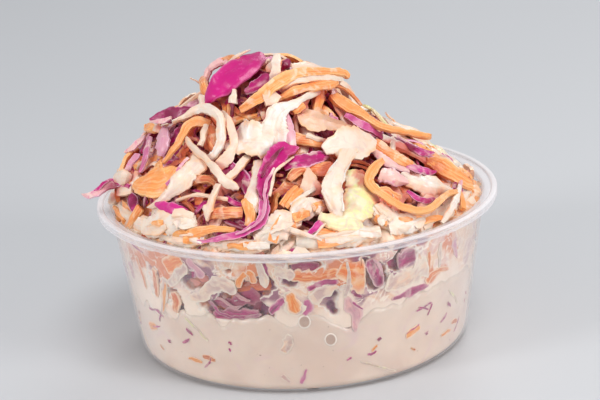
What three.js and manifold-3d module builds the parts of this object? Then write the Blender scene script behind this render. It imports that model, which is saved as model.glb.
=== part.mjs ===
// Coleslaw heaped in a round clear plastic tub.
//
// Millimetres, +Z up. The origin is the middle of the tub's underside, and -Y is the front.
// Three solids: the tub, the dressing pooled in its lower half, and the heap of shredded
// cabbage and carrot that rises out of the dressing and stands over the rim.

import * as THREE from 'three';
import { mergeVertices } from 'three/addons/utils/BufferGeometryUtils.js';
import Module from 'manifold-3d';

const wasm = await Module();
wasm.setup();

// ---------------------------------------------------------------- driving dimensions

const RIM_RADIUS = 58.5;
const TUB_HEIGHT = 44.5;
const WALL_TOP_RADIUS = 55;      // outside of the wall, just under the rim
const WALL_FOOT_RADIUS = 48.2;   // outside of the wall, carried down to the table
const CORNER_RADIUS = 4;         // between the wall and the flat base
const WALL_THICKNESS = 0.7;
const LIP_HEIGHT = 1.8;          // how far the rim's outer edge turns down
const LEDGE_DROP = 0.7;          // the lid's ledge lies this far below the bead's top
const BEAD_WIDTH = 1.9;
const CLEARANCE = 0.3;           // between solids that touch in the real thing
const TUB_SIDES = 60;
const CORNER_STEPS = 4;

const DRESSING_LEVEL = 22;       // mean height of the dressing's uneven surface
const DRESSING_WAVE = 3;

const HEAP_CENTRE = new THREE.Vector3(-6, 0, TUB_HEIGHT - 3);
const HEAP_RISE = 31.5;          // from the centre up to the top, without the knot
const LEFT_ROUNDNESS = 1.85;     // superellipse powers: 2 is a dome, 1 a straight cone
const RIGHT_ROUNDNESS = 1.2;
const KNOT = new THREE.Vector3(0.03, -0.05, 1).normalize();
const KNOT_RISE = 0.37;          // the knot on top adds this share of the rise
const KNOT_SPREAD = 0.6;         // radians
const CORE_SKIN = 2.6;           // the core lies this far below the heap's surface
const HEAP_SIDES = 36;
const HEAP_RINGS = 7;
const BAND_DEPTH = 1.1;          // the core's side lies this far in from the tub's wall

const GRID_RINGS = 4;            // of the dressing's uneven surface

// ---------------------------------------------------------------- small helpers

// A repeatable random number generator (mulberry32), so that the heap is the same each time.
function seeded(seed) {
  let state = seed;
  return () => {
    state = (state + 0x6d2b79f5) | 0;
    let t = Math.imul(state ^ (state >>> 15), 1 | state);
    t = (t + Math.imul(t ^ (t >>> 7), 61 | t)) ^ t;
    return ((t ^ (t >>> 14)) >>> 0) / 4294967296;
  };
}

const random = seeded(11);
const between = (low, high) => low + (high - low) * random();
const mix = (a, b, share) => a + (b - a) * share;

// A closed indexed surface as a manifold-3d solid.
function toSolid(geometry) {
  const bare = geometry.clone();
  bare.deleteAttribute('normal');
  bare.deleteAttribute('uv');
  const merged = mergeVertices(bare, 1e-4);
  return new wasm.Manifold(new wasm.Mesh({
    numProp: 3,
    vertProperties: new Float32Array(merged.attributes.position.array),
    triVerts: new Uint32Array(merged.index.array),
  }));
}

function toGeometry(solid) {
  const mesh = solid.getMesh();
  const positions = new Float32Array(mesh.numVert * 3);
  for (let i = 0; i < mesh.numVert; i++) {
    const start = i * mesh.numProp;
    positions.set(mesh.vertProperties.subarray(start, start + 3), i * 3);
  }
  const geometry = new THREE.BufferGeometry();
  geometry.setAttribute('position', new THREE.BufferAttribute(positions, 3));
  geometry.setIndex(new THREE.BufferAttribute(new Uint32Array(mesh.triVerts), 1));
  geometry.computeVertexNormals();
  return geometry;
}

function indexed(points, triangles) {
  const geometry = new THREE.BufferGeometry();
  geometry.setAttribute('position', new THREE.Float32BufferAttribute(points.flatMap((p) => p.toArray()), 3));
  geometry.setIndex(triangles);
  return geometry;
}

// ---------------------------------------------------------------- the tub

const WALL_SLOPE = Math.atan2(WALL_TOP_RADIUS - WALL_FOOT_RADIUS, TUB_HEIGHT);

// Radius of the wall at a height: 0 is its outer face, WALL_THICKNESS its inner face.
function wallRadius(z, inset = 0) {
  return mix(WALL_FOOT_RADIUS, WALL_TOP_RADIUS, z / TUB_HEIGHT) - inset / Math.cos(WALL_SLOPE);
}

// The rounded corner between base and wall as profile points, from the base up.
function cornerArc(radius, inset, steps) {
  const baseHeight = inset;
  const turn = Math.PI / 2 - WALL_SLOPE;
  const reach = radius * Math.tan(turn / 2);
  const footRadius = wallRadius(baseHeight, inset) - reach;
  const points = [];
  for (let i = 0; i <= steps; i++) {
    const angle = -Math.PI / 2 + turn * (i / steps);
    points.push(new THREE.Vector2(
      footRadius + radius * Math.cos(angle),
      baseHeight + radius + radius * Math.sin(angle),
    ));
  }
  return points;
}

// The tub is turned from one closed profile: up the outside, over the rim, down the inside.
function tubProfile() {
  const top = TUB_HEIGHT;
  const ledge = top - LEDGE_DROP;
  const under = ledge - WALL_THICKNESS;
  const outside = cornerArc(CORNER_RADIUS, 0, CORNER_STEPS);
  const inside = cornerArc(CORNER_RADIUS - WALL_THICKNESS, WALL_THICKNESS, CORNER_STEPS).reverse();
  const rim = [
    [wallRadius(under), under],
    [RIM_RADIUS - WALL_THICKNESS, under],
    [RIM_RADIUS - WALL_THICKNESS, top - LIP_HEIGHT],
    [RIM_RADIUS, top - LIP_HEIGHT],
    [RIM_RADIUS, top - 0.4],
    [RIM_RADIUS - 0.4, top],
    [RIM_RADIUS - BEAD_WIDTH + 0.5, top],
    [RIM_RADIUS - BEAD_WIDTH, ledge],
    [wallRadius(ledge, WALL_THICKNESS) + 0.5, ledge],
    [wallRadius(ledge - 0.5, WALL_THICKNESS), ledge - 0.5],
  ].map(([r, z]) => new THREE.Vector2(r, z));
  return [
    new THREE.Vector2(0, 0),
    ...outside,
    ...rim,
    ...inside,
    new THREE.Vector2(0, WALL_THICKNESS),
  ];
}

function makeTub() {
  return toSolid(new THREE.LatheGeometry(tubProfile(), TUB_SIDES).rotateX(Math.PI / 2));
}

// ---------------------------------------------------------------- the dressing

// Height of the uneven line between dressing and slaw.
function dressingTop(x, y) {
  const angle = Math.atan2(y, x);
  const nearWall = Math.min(1, Math.hypot(x, y) / WALL_FOOT_RADIUS);
  const wave = 0.6 * Math.sin(angle - 0.9) + 0.25 * Math.sin(3 * angle + 0.5) + 0.35 * Math.sin(5 * angle + 2);
  return DRESSING_LEVEL - DRESSING_WAVE * nearWall * wave;
}

// A round solid standing on stacked rings and closed by a fan at both ends.
function stackRings(rings, bottomPoint, topPoint) {
  const sides = rings[0].length;
  const points = [bottomPoint, ...rings.flat(), topPoint];
  const at = (ring, side) => 1 + ring * sides + (side % sides);
  const triangles = [];
  for (let side = 0; side < sides; side++) {
    triangles.push(0, at(0, side + 1), at(0, side));
    for (let ring = 0; ring + 1 < rings.length; ring++) {
      triangles.push(at(ring, side), at(ring, side + 1), at(ring + 1, side + 1));
      triangles.push(at(ring, side), at(ring + 1, side + 1), at(ring + 1, side));
    }
    triangles.push(points.length - 1, at(rings.length - 1, side), at(rings.length - 1, side + 1));
  }
  return indexed(points, triangles);
}

function ringOf(sides, pointAt) {
  return Array.from({ length: sides }, (_, i) => pointAt((2 * Math.PI * i) / sides));
}

// The uneven surface between dressing and slaw, ring by ring from the wall to the middle.
function surfaceRings(inset, shift) {
  const rings = [];
  for (let k = 0; k < GRID_RINGS; k++) {
    const share = 1 - k / GRID_RINGS;
    rings.push(ringOf(HEAP_SIDES, (angle) => {
      const rimX = WALL_FOOT_RADIUS * Math.cos(angle);
      const rimY = WALL_FOOT_RADIUS * Math.sin(angle);
      const edge = wallRadius(dressingTop(rimX, rimY) + shift, WALL_THICKNESS + inset) * share;
      const x = edge * Math.cos(angle);
      const y = edge * Math.sin(angle);
      return new THREE.Vector3(x, y, dressingTop(x, y) + shift);
    }));
  }
  return rings;
}

function makeDressing() {
  const inset = WALL_THICKNESS + CLEARANCE;
  const corner = cornerArc(CORNER_RADIUS - inset, inset, 2);
  const side = corner.map((p) => ringOf(HEAP_SIDES, (angle) => (
    new THREE.Vector3(p.x * Math.cos(angle), p.x * Math.sin(angle), p.y)
  )));
  const surface = surfaceRings(CLEARANCE, -CLEARANCE / 2);
  const middle = new THREE.Vector3(0, 0, dressingTop(0, 0) - CLEARANCE / 2);
  return toSolid(stackRings([...side, ...surface], new THREE.Vector3(0, 0, inset), middle));
}

// ---------------------------------------------------------------- the heap's form

// How far the heap's surface is from its centre in a direction. The heap is a dome on the left
// that runs out into a cone on the right, with a knot of shreds standing on the top.
function heapRadius(direction) {
  const c = HEAP_CENTRE;
  const angle = Math.atan2(direction.y, direction.x);
  const wall = wallRadius(c.z, WALL_THICKNESS + CLEARANCE);
  const along = c.x * Math.cos(angle) + c.y * Math.sin(angle);
  const reach = -along + Math.sqrt(along * along + wall * wall - c.x * c.x - c.y * c.y);
  const power = mix(LEFT_ROUNDNESS, RIGHT_ROUNDNESS, (1 + Math.cos(angle)) / 2);
  const level = Math.hypot(direction.x, direction.y) / reach;
  const upward = Math.max(direction.z, 0) / HEAP_RISE;
  const knot = KNOT_RISE * Math.exp(-((direction.angleTo(KNOT) / KNOT_SPREAD) ** 2));
  return (1 + knot) * (level ** power + upward ** power) ** (-1 / power);
}

// How far a point stands above the heap's surface, measured from the heap's centre.
function heightOverHeap(point) {
  const d = point.clone().sub(HEAP_CENTRE);
  return d.length() - heapRadius(d.normalize());
}

// The point of the heap's surface in the same direction from the centre.
function ontoHeap(point) {
  const direction = point.clone().sub(HEAP_CENTRE).normalize();
  return direction.multiplyScalar(heapRadius(direction.clone())).add(HEAP_CENTRE);
}

const AXES = [new THREE.Vector3(1, 0, 0), new THREE.Vector3(0, 1, 0), new THREE.Vector3(0, 0, 1)];

function heapNormal(point) {
  const slopes = AXES.map((axis) => heightOverHeap(point.clone().addScaledVector(axis, 0.5))
    - heightOverHeap(point.clone().addScaledVector(axis, -0.5)));
  return new THREE.Vector3(...slopes).normalize();
}

// A point over the heap by its direction from the centre and its height above the surface.
function heapPoint(angle, elevation, lift = 0) {
  const direction = new THREE.Vector3(
    Math.cos(angle) * Math.cos(elevation),
    Math.sin(angle) * Math.cos(elevation),
    Math.sin(elevation),
  );
  return direction.clone().multiplyScalar(heapRadius(direction) + lift).add(HEAP_CENTRE);
}

const lumps = (p) => Math.sin(0.31 * p.x + 1) * Math.cos(0.27 * p.y) + 0.7 * Math.sin(0.2 * p.x - 0.36 * p.y + 2);

// The bare core: a lumpy heap whose foot follows the dressing and whose side stays off the wall.
function makeCore() {
  const foot = surfaceRings(CLEARANCE + BAND_DEPTH, CLEARANCE / 2).reverse();
  const side = [0.5, 1].map((share) => ringOf(HEAP_SIDES, (angle) => {
    const z = mix(DRESSING_LEVEL + DRESSING_WAVE, HEAP_CENTRE.z - 1, share);
    const r = wallRadius(z, WALL_THICKNESS + CLEARANCE + BAND_DEPTH);
    return new THREE.Vector3(r * Math.cos(angle), r * Math.sin(angle), z);
  }));
  const dome = [];
  for (let k = 0; k < HEAP_RINGS; k++) {
    const elevation = (Math.PI / 2) * ((k + 0.3) / (HEAP_RINGS + 0.3));
    dome.push(ringOf(HEAP_SIDES, (angle) => {
      const p = heapPoint(angle, elevation);
      return p.addScaledVector(heapNormal(p), -CORE_SKIN + 0.8 * lumps(p));
    }));
  }
  const bottom = new THREE.Vector3(0, 0, dressingTop(0, 0) + CLEARANCE / 2);
  const top = heapPoint(0, Math.PI / 2, -CORE_SKIN);
  return toSolid(stackRings([...foot, ...side, ...dome], bottom, top));
}

// ---------------------------------------------------------------- one shred

// A ribbon along a path. Each station has a point, a direction across and a direction out.
// Both faces are split into triangles alike, so the ribbon is evenly thick.
function ribbon(stations, { width, thickness, columns = 1, cup = 0 }) {
  const points = [];
  const last = stations.length - 1;
  const across = columns + 1;
  stations.forEach(({ point, side, out }, i) => {
    const taper = i === 0 || i === last ? 0.55 : 1;
    for (const face of [0.5, -0.5]) {
      for (let j = 0; j < across; j++) {
        const u = (2 * j) / columns - 1;
        points.push(point.clone()
          .addScaledVector(side, (u * width * taper) / 2)
          .addScaledVector(out, face * thickness + cup * u * u));
      }
    }
  });
  const at = (station, face, j) => (station * 2 + face) * across + j;
  const triangles = [];
  for (let i = 0; i < last; i++) {
    for (let j = 0; j < columns; j++) {
      triangles.push(at(i, 0, j), at(i + 1, 0, j + 1), at(i + 1, 0, j));
      triangles.push(at(i, 0, j), at(i, 0, j + 1), at(i + 1, 0, j + 1));
      triangles.push(at(i, 1, j), at(i + 1, 1, j), at(i + 1, 1, j + 1));
      triangles.push(at(i, 1, j), at(i + 1, 1, j + 1), at(i, 1, j + 1));
    }
    for (const [j, near, far] of [[0, 1, 0], [columns, 0, 1]]) {
      triangles.push(at(i, near, j), at(i + 1, far, j), at(i + 1, near, j));
      triangles.push(at(i, near, j), at(i, far, j), at(i + 1, far, j));
    }
  }
  for (let j = 0; j < columns; j++) {
    triangles.push(at(0, 0, j), at(0, 1, j + 1), at(0, 0, j + 1));
    triangles.push(at(0, 0, j), at(0, 1, j), at(0, 1, j + 1));
    triangles.push(at(last, 0, j), at(last, 0, j + 1), at(last, 1, j + 1));
    triangles.push(at(last, 0, j), at(last, 1, j + 1), at(last, 1, j));
  }
  return toSolid(indexed(points, triangles));
}

// Stations along a line of points. The ribbon faces away from the heap, turned by a twist
// that grows from the first station to the last.
function stationsAlong(line, twistStart, twistEnd) {
  const last = line.length - 1;
  return line.map((point, i) => {
    const tangent = line[Math.min(i + 1, last)].clone().sub(line[Math.max(i - 1, 0)]).normalize();
    const facing = heapNormal(point).applyAxisAngle(tangent, mix(twistStart, twistEnd, i / last));
    const side = tangent.clone().cross(facing).normalize();
    return { point, side, out: side.clone().cross(tangent).normalize() };
  });
}

// ---------------------------------------------------------------- the large pieces

// The pieces that give the heap its look and its outline. Each follows points over the heap,
// given as [direction round the heap and elevation in degrees, height above the surface in mm],
// and dips into the heap beyond both ends, or only beyond the first if its last end is free.
const CARROT = { width: 2.8, thickness: 2 };
const ROOT_REACH = 3;
const ROOT_DEPTH = 5;
const LARGE_PIECES = [
  // a petal of red cabbage on the top
  {
    path: [[-141, 58, 3], [-134, 65, 5], [-122, 72, 5.5], [-98, 78, 5.5]],
    width: 7.5, thickness: 1.4, columns: 2, cup: -1, free: true,
  },
  // a bundle of three carrot sticks across the top
  { path: [[-111, 61, 3], [-91, 67, 4], [-44, 68, 4], [-16, 60, 8]], ...CARROT, free: true },
  { path: [[-96, 58, 2], [-71, 65, 3], [-30, 65, 3], [-8, 56, 4.5]], ...CARROT, free: true },
  { path: [[-116, 66, 1], [-71, 73, 3], [-20, 70, 4.5], [-12, 60, 9]], ...CARROT, free: true },
  // a carrot stick that runs down to the right and stands off the heap
  { path: [[-30, 60, 2], [-13, 41, 3], [-9, 29, 5], [-5, 22, 8]], width: 3, thickness: 2.2, free: true },
  // a slip of red cabbage under it
  { path: [[-34, 50, 1], [-21, 41, 2], [-16, 31, 1.5]], width: 2.6, thickness: 1.5 },
  // curved leaves of white cabbage below the bundle
  { path: [[-97, 51, 1], [-79, 58, 2], [-53, 60, 2], [-36, 57, 1]], width: 7.5, thickness: 1.5, columns: 2, cup: -1.4 },
  { path: [[-70, 54, 1], [-56, 50, 2], [-41, 40, 1.5]], width: 6.5, thickness: 1.5, columns: 2, cup: 1.2 },
  { path: [[-59, 43, 2], [-54, 33, 2.5], [-65, 24, 2.5], [-72, 16, 2]], width: 5.2, thickness: 1.8 },
  { path: [[-71, 10, 1], [-64, 15, 1.8], [-51, 19, 1]], width: 9, thickness: 1.6, columns: 2, cup: -1 },
  // a loop of carrot on the right
  { path: [[-47, 27, 2], [-56, 19, 3], [-51, 11, 3], [-41, 8, 2.5], [-28, 8, 1.5]], ...CARROT },
  // a long winding strip of red cabbage down the front
  {
    path: [[-61, 35, 2], [-76, 33, 2.5], [-89, 34, 2.5], [-94, 25, 2.5], [-94, 18, 2.5], [-101, 12, 2.5], [-113, 10, 1.5]],
    width: 4.4, thickness: 1.7,
  },
  // ribbons and a thick chunk of white cabbage on the left
  { path: [[-143, 51, 1], [-122, 47, 2.5], [-110, 37, 3], [-110, 23, 2.5], [-114, 14, 1.5]], width: 3.4, thickness: 1.6 },
  { path: [[-165, 44, 1.5], [-138, 53, 3], [-112, 51, 2]], width: 3.2, thickness: 1.6 },
  { path: [[-110, 42, 1], [-101, 44, 1.6], [-91, 46, 1]], width: 9, thickness: 4, columns: 2, cup: -0.6 },
  // carrot on the left: a wide slice and a stick
  { path: [[-155, 16, 1], [-145, 20, 1.8], [-137, 25, 1]], width: 6.5, thickness: 2 },
  { path: [[-140, 24, 1.5], [-143, 35, 2.4], [-146, 47, 1.5]], ...CARROT },
  // a shred of red cabbage that reaches out over the rim, and others standing out above it
  { path: [[-155, 16, 2], [-167, 12.5, 5], [-175, 7.5, 9.5]], width: 3.4, thickness: 1.7, free: true },
  { path: [[-169, 18, 1], [-176, 25, 1.8], [-171, 34, 1]], width: 6, thickness: 1.5, columns: 2, cup: -0.8 },
  { path: [[-152, 52, 2], [-166, 44, 4.5], [-175, 38, 6]], width: 3.6, thickness: 1.6, free: true },
  // wide carrot slices far on the right
  { path: [[-17, 16, 1], [-13, 10, 2], [-8, 5, 1]], width: 5, thickness: 2 },
  // white cabbage along the front of the rim
  { path: [[-97, 16, 1], [-89, 10, 1.6], [-82, 6, 1], [-70, 5, 0.5]], width: 3.4, thickness: 1.6 },
];

// A point deep in the heap, a little way beyond the end of a piece that runs from one to the other.
function rootBeyond(end, next) {
  const beyond = end.clone().add(end.clone().sub(next).setLength(ROOT_REACH));
  return ontoHeap(beyond).addScaledVector(heapNormal(beyond), -ROOT_DEPTH);
}

function largePiece(piece) {
  const radians = THREE.MathUtils.degToRad;
  const seen = piece.path.map(([angle, elevation, lift]) => heapPoint(radians(angle), radians(elevation), lift));
  const control = [rootBeyond(seen[0], seen[1]), ...seen];
  if (!piece.free) control.push(rootBeyond(seen[seen.length - 1], seen[seen.length - 2]));
  const curve = new THREE.CatmullRomCurve3(control);
  const steps = Math.max(4, Math.round(curve.getLength() / 7));
  return ribbon(stationsAlong(curve.getSpacedPoints(steps), -0.25, 0.25), piece);
}

// ---------------------------------------------------------------- the many shreds

// What a shred may be: its length, width and thickness, and how many facets lie across it.
const KINDS = {
  carrot: { length: [20, 36], width: [2.2, 3], thickness: 1.9 },
  cabbage: { length: [16, 32], width: [3, 4.8], thickness: 1.4 },
  leaf: { length: [12, 19], width: [7.5, 10.5], thickness: 1.4, columns: 2 },
};
const SHRED_STEPS = 4;

// Walks a line over the heap from a starting point, turning evenly as it goes.
function walk(start, heading, length, steps, turn) {
  const line = [start.clone()];
  const tangent = heading.clone();
  for (let i = 0; i < steps; i++) {
    const point = line[line.length - 1];
    const normal = heapNormal(point);
    tangent.addScaledVector(normal, -tangent.dot(normal)).normalize();
    tangent.applyAxisAngle(normal, turn / steps);
    const next = point.clone().addScaledVector(tangent, length / steps);
    if (next.z < HEAP_CENTRE.z) break;
    line.push(ontoHeap(next));
  }
  return line;
}

// One shred on the heap. Its ends dip into the core and its middle arches clear of it; now and
// then one end stands out instead.
function heapShred(kind, angle, elevation, spin) {
  const shape = KINDS[kind];
  const length = between(...shape.length);
  const turn = between(-0.7, 0.7);
  const arch = between(2.2, 3.6);
  const standOut = random() < 0.25 ? between(2.5, 5) : 0;
  const twist = [between(-0.5, 0.5), between(-0.5, 0.5)];
  const cup = shape.columns ? between(-1.4, -0.7) : 0;
  const width = between(...shape.width);
  const middle = heapPoint(angle, elevation);
  const normal = heapNormal(middle);
  const level = AXES[2].clone().cross(normal).normalize();
  const heading = level.applyAxisAngle(normal, spin);
  const ahead = walk(middle, heading, length / 2, SHRED_STEPS / 2, turn);
  const behind = walk(middle, heading.clone().negate(), length / 2, SHRED_STEPS / 2, -turn);
  const line = [...behind.slice(1).reverse(), ...ahead];
  if (line.length < 4) return null;
  const lifted = line.map((point, i) => {
    const share = i / (line.length - 1);
    const lift = -CORE_SKIN + arch * 4 * share * (1 - share) + standOut * share * share;
    return point.clone().addScaledVector(heapNormal(point), lift);
  });
  return ribbon(stationsAlong(lifted, ...twist), { ...shape, width, cup });
}

// One shred pressed against the inside of the wall, between the dressing and the rim.
function wallShred(kind, angle) {
  const { thickness, ...shape } = KINDS[kind];
  const length = between(...shape.length) * 0.75;
  const width = between(...shape.width) * 0.95;
  const foot = dressingTop(WALL_FOOT_RADIUS * Math.cos(angle), WALL_FOOT_RADIUS * Math.sin(angle));
  const tilt = between(-0.6, 0.6);
  const low = foot + width / 2 + 1.2;
  const high = HEAP_CENTRE.z - width / 2;
  const middle = between(low, high);
  const inset = WALL_THICKNESS + CLEARANCE + thickness / 2 + 0.25;
  const stations = [];
  for (let i = 0; i <= SHRED_STEPS; i++) {
    const run = (i / SHRED_STEPS - 0.5) * length;
    const z = THREE.MathUtils.clamp(middle + run * Math.sin(tilt), low, high);
    const r = wallRadius(z, inset);
    const a = angle + (run * Math.cos(tilt)) / r;
    const out = new THREE.Vector3(Math.cos(a), Math.sin(a), -Math.tan(WALL_SLOPE)).normalize();
    const along = new THREE.Vector3(-Math.sin(a), Math.cos(a), 0).applyAxisAngle(out, -tilt);
    const side = along.cross(out).normalize();
    stations.push({ point: new THREE.Vector3(r * Math.cos(a), r * Math.sin(a), z), side, out });
  }
  return ribbon(stations, { width, thickness });
}

// The room taken by the tub's wall and rim, which no shred may enter.
function makeTubZone() {
  const inset = WALL_THICKNESS + CLEARANCE;
  const foot = CORNER_RADIUS * 2;
  const top = TUB_HEIGHT + CLEARANCE;
  const loop = [
    [wallRadius(foot, inset), foot],
    [RIM_RADIUS + 5, foot],
    [RIM_RADIUS + 5, top],
    [wallRadius(top, inset), top],
    [wallRadius(foot, inset), foot],
  ].map(([r, z]) => new THREE.Vector2(r, z));
  return toSolid(new THREE.LatheGeometry(loop, TUB_SIDES).rotateX(Math.PI / 2));
}

// ---------------------------------------------------------------- the whole heap

// How many shreds of each kind are tried, and how many triangles one may add to the heap.
// A shred that cuts through many others costs more than that and is left out, which also
// spreads the rest evenly.
const ON_WALL = { tries: 60, cost: 75 };
const ON_RIM = { tries: 50, cost: 110 };
const ON_HEAP = [
  { kind: 'leaf', tries: 24, cost: 190 },
  { kind: 'carrot', tries: 50, cost: 120 },
  { kind: 'cabbage', tries: 170, cost: 120 },
];
const MOST_TRIANGLES = 10200;
const GOLDEN_ANGLE = Math.PI * (3 - Math.sqrt(5));

function makeSlaw() {
  const tubZone = makeTubZone();
  let heap = makeCore();
  const tryPiece = (piece, cost) => {
    if (!piece || piece.intersect(tubZone).volume() > 0) return;
    const joined = heap.add(piece);
    if (joined.numTri() - heap.numTri() > cost || joined.numTri() > MOST_TRIANGLES) return;
    if (joined.decompose().length === 1) heap = joined;
  };
  for (const piece of LARGE_PIECES) tryPiece(largePiece(piece), 500);
  for (let i = 0; i < ON_WALL.tries; i++) {
    const angle = (2 * Math.PI * (i + between(-0.3, 0.3))) / ON_WALL.tries;
    tryPiece(wallShred(i % 3 ? 'cabbage' : 'carrot', angle), ON_WALL.cost);
  }
  for (let i = 0; i < ON_RIM.tries; i++) {
    const angle = (2 * Math.PI * (i + between(-0.3, 0.3))) / ON_RIM.tries;
    const spin = between(-0.5, 0.5);
    tryPiece(heapShred(i % 3 ? 'cabbage' : 'carrot', angle, between(0.05, 0.16), spin), ON_RIM.cost);
  }
  for (const { kind, tries, cost } of ON_HEAP) {
    for (let i = 0; i < tries; i++) {
      const elevation = Math.asin(((i + 0.5) / tries) ** 1.15);
      const spin = between(0, Math.PI * 2);
      tryPiece(heapShred(kind, i * GOLDEN_ANGLE, elevation, spin), cost);
    }
  }
  return heap;
}

// ---------------------------------------------------------------- the object

const material = (color, roughness, more = {}) => (
  new THREE.MeshStandardMaterial({ color, roughness, metalness: 0, ...more })
);

const MATERIALS = {
  tub: material(0xe9e6e6, 0.25, { transparent: true, opacity: 0.35 }),
  dressing: material(0xe9d6c4, 0.3),
  slaw: material(0xeec9a4, 0.45),
};

const coleslaw = new THREE.Group();
for (const [name, solid] of [['tub', makeTub()], ['dressing', makeDressing()], ['slaw', makeSlaw()]]) {
  const mesh = new THREE.Mesh(toGeometry(solid), MATERIALS[name]);
  mesh.name = name;
  coleslaw.add(mesh);
}

export default coleslaw;
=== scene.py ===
# %% [markdown]
# # A tub of coleslaw
#
# A round, slightly milky plastic tub holds a pool of creamy dressing with shredded white cabbage,
# red cabbage and carrot standing out of it in a loose heap. The solids of the tub, the dressing and
# the heap are loaded as a fixed frame, and this lesson dresses them: each is replaced by a finer
# piece that stays in the same place.

# %% Load the frame
import math

import bpy
import numpy as np
from mathutils import Matrix, Vector


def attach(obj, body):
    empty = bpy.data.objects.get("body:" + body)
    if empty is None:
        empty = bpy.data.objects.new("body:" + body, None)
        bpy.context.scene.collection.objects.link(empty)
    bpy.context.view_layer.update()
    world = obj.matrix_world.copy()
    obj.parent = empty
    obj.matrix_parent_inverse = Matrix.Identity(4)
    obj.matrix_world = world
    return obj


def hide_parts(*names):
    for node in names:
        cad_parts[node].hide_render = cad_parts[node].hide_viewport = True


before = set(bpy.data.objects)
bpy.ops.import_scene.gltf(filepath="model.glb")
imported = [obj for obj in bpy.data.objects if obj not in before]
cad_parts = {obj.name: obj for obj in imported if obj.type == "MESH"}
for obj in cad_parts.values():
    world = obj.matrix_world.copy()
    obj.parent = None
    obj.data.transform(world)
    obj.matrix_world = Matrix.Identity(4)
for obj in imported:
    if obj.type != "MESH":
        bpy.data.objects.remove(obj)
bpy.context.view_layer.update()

# %% [markdown]
# ## The camera
#
# The camera comes first, so that every later cell can be judged through it. It stands about 590 mm
# away and looks down by some 18 degrees with a long lens, which keeps the tub's ellipses flat, and
# it is rolled a little, so that the rim runs up to the right.

# %% Camera
MM = 0.001
ELEVATION = math.radians(17.758)
ROLL = math.radians(-3.229)
AIM = Vector((0.77, 0.0, 41.19)) * MM
DISTANCE = 587.3 * MM
LENS, SENSOR, NEAR_CLIP = 120, 36, 0.01

CAMERA_BACK = Vector((0, -math.cos(ELEVATION), math.sin(ELEVATION)))
LEVEL_RIGHT = Vector((1, 0, 0))
LEVEL_UP = Vector((0, math.sin(ELEVATION), math.cos(ELEVATION)))
CAMERA_RIGHT = math.cos(ROLL) * LEVEL_RIGHT + math.sin(ROLL) * LEVEL_UP
CAMERA_UP = -math.sin(ROLL) * LEVEL_RIGHT + math.cos(ROLL) * LEVEL_UP


def add_camera():
    data = bpy.data.cameras.new("camera")
    data.lens = LENS
    data.sensor_width = SENSOR
    data.clip_start = NEAR_CLIP
    camera = bpy.data.objects.new("camera", data)
    bpy.context.scene.collection.objects.link(camera)
    turn = Matrix((CAMERA_RIGHT, CAMERA_UP, CAMERA_BACK)).transposed().to_4x4()
    camera.matrix_world = Matrix.Translation(AIM + DISTANCE * CAMERA_BACK) @ turn
    bpy.context.scene.camera = camera
    return camera


camera = add_camera()
print("camera at", [round(v, 3) for v in camera.location])

# %% [markdown]
# ## Floor and light
#
# Soft, bright light suits food. A wide lamp overhead and a little to the front gives the wet sheen,
# two more from the left and the right shape the heap, a weak one behind lifts its outline, and a
# bright world fills the gaps. The floor is one pale sheet, so large that its edge never shows.

# %% Floor, lamps and world
LAMPS = [
    # name, place and width in metres, watts
    ("overhead lamp", (0.2, -0.4, 1.0), 0.5, 4.9),
    ("left lamp", (-0.95, -0.55, 0.45), 0.35, 5.4),
    ("right lamp", (0.95, -0.7, 0.4), 0.4, 6.1),
    ("back lamp", (0.3, 0.9, 0.7), 0.5, 2.5),
]
LAMPS_LOOK_AT = Vector((0, 0, 0.05))
WORLD_COLOUR, WORLD_STRENGTH = (0.95, 0.97, 1.0, 1), 0.46
FLOOR_CORNERS = [(-6, -6, 0), (6, -6, 0), (6, 6, 0), (-6, 6, 0)]


def add_lamp(name, place, size, watts):
    data = bpy.data.lights.new(name, "AREA")
    data.shape = "DISK"
    data.size = size
    data.energy = watts
    lamp = bpy.data.objects.new(name, data)
    lamp.location = place
    lamp.rotation_euler = (LAMPS_LOOK_AT - Vector(place)).to_track_quat("-Z", "Y").to_euler()
    bpy.context.scene.collection.objects.link(lamp)


def add_floor():
    material = bpy.data.materials.new("pale floor")
    material.use_nodes = True
    shader = material.node_tree.nodes["Principled BSDF"]
    shader.inputs["Base Color"].default_value = (0.55, 0.56, 0.58, 1)
    shader.inputs["Roughness"].default_value = 0.6
    mesh = bpy.data.meshes.new("floor")
    mesh.from_pydata(FLOOR_CORNERS, [], [(0, 1, 2, 3)])
    mesh.materials.append(material)
    floor = bpy.data.objects.new("floor", mesh)
    bpy.context.scene.collection.objects.link(floor)


def add_world():
    world = bpy.data.worlds.new("studio")
    world.use_nodes = True
    background = world.node_tree.nodes["Background"].inputs
    background["Color"].default_value = WORLD_COLOUR
    background["Strength"].default_value = WORLD_STRENGTH
    bpy.context.scene.world = world


add_floor()
add_world()
for lamp in LAMPS:
    add_lamp(*lamp)
bpy.context.scene.view_settings.view_transform = "Standard"
print(len(LAMPS), "lamps, world strength", WORLD_STRENGTH)

# %% [markdown]
# ## The forms that everything follows
#
# The tub is turned round an upright axis, so one formula gives its wall at any height. The heap is
# a dome on the left that runs out into a cone on the right, with a knot of shreds on the top: its
# surface is given as a distance from its centre in each direction. Both formulas are the same as
# those of the solids. They work on whole arrays of points at once, in millimetres, because there
# are thousands of shreds to place.

# %% The tub's wall and the line between dressing and slaw
RIM_RADIUS = 58.5
TUB_HEIGHT = 44.5
WALL_TOP_RADIUS = 55.0
WALL_FOOT_RADIUS = 48.2
CORNER_RADIUS = 4.0
WALL = 0.7
INTO_WALL = 0.1
PRESSED_IN = 0.35
WALL_SLOPE = math.atan2(WALL_TOP_RADIUS - WALL_FOOT_RADIUS, TUB_HEIGHT)
DRESSING_LEVEL = 22.0
DRESSING_WAVE = 3.0


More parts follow.
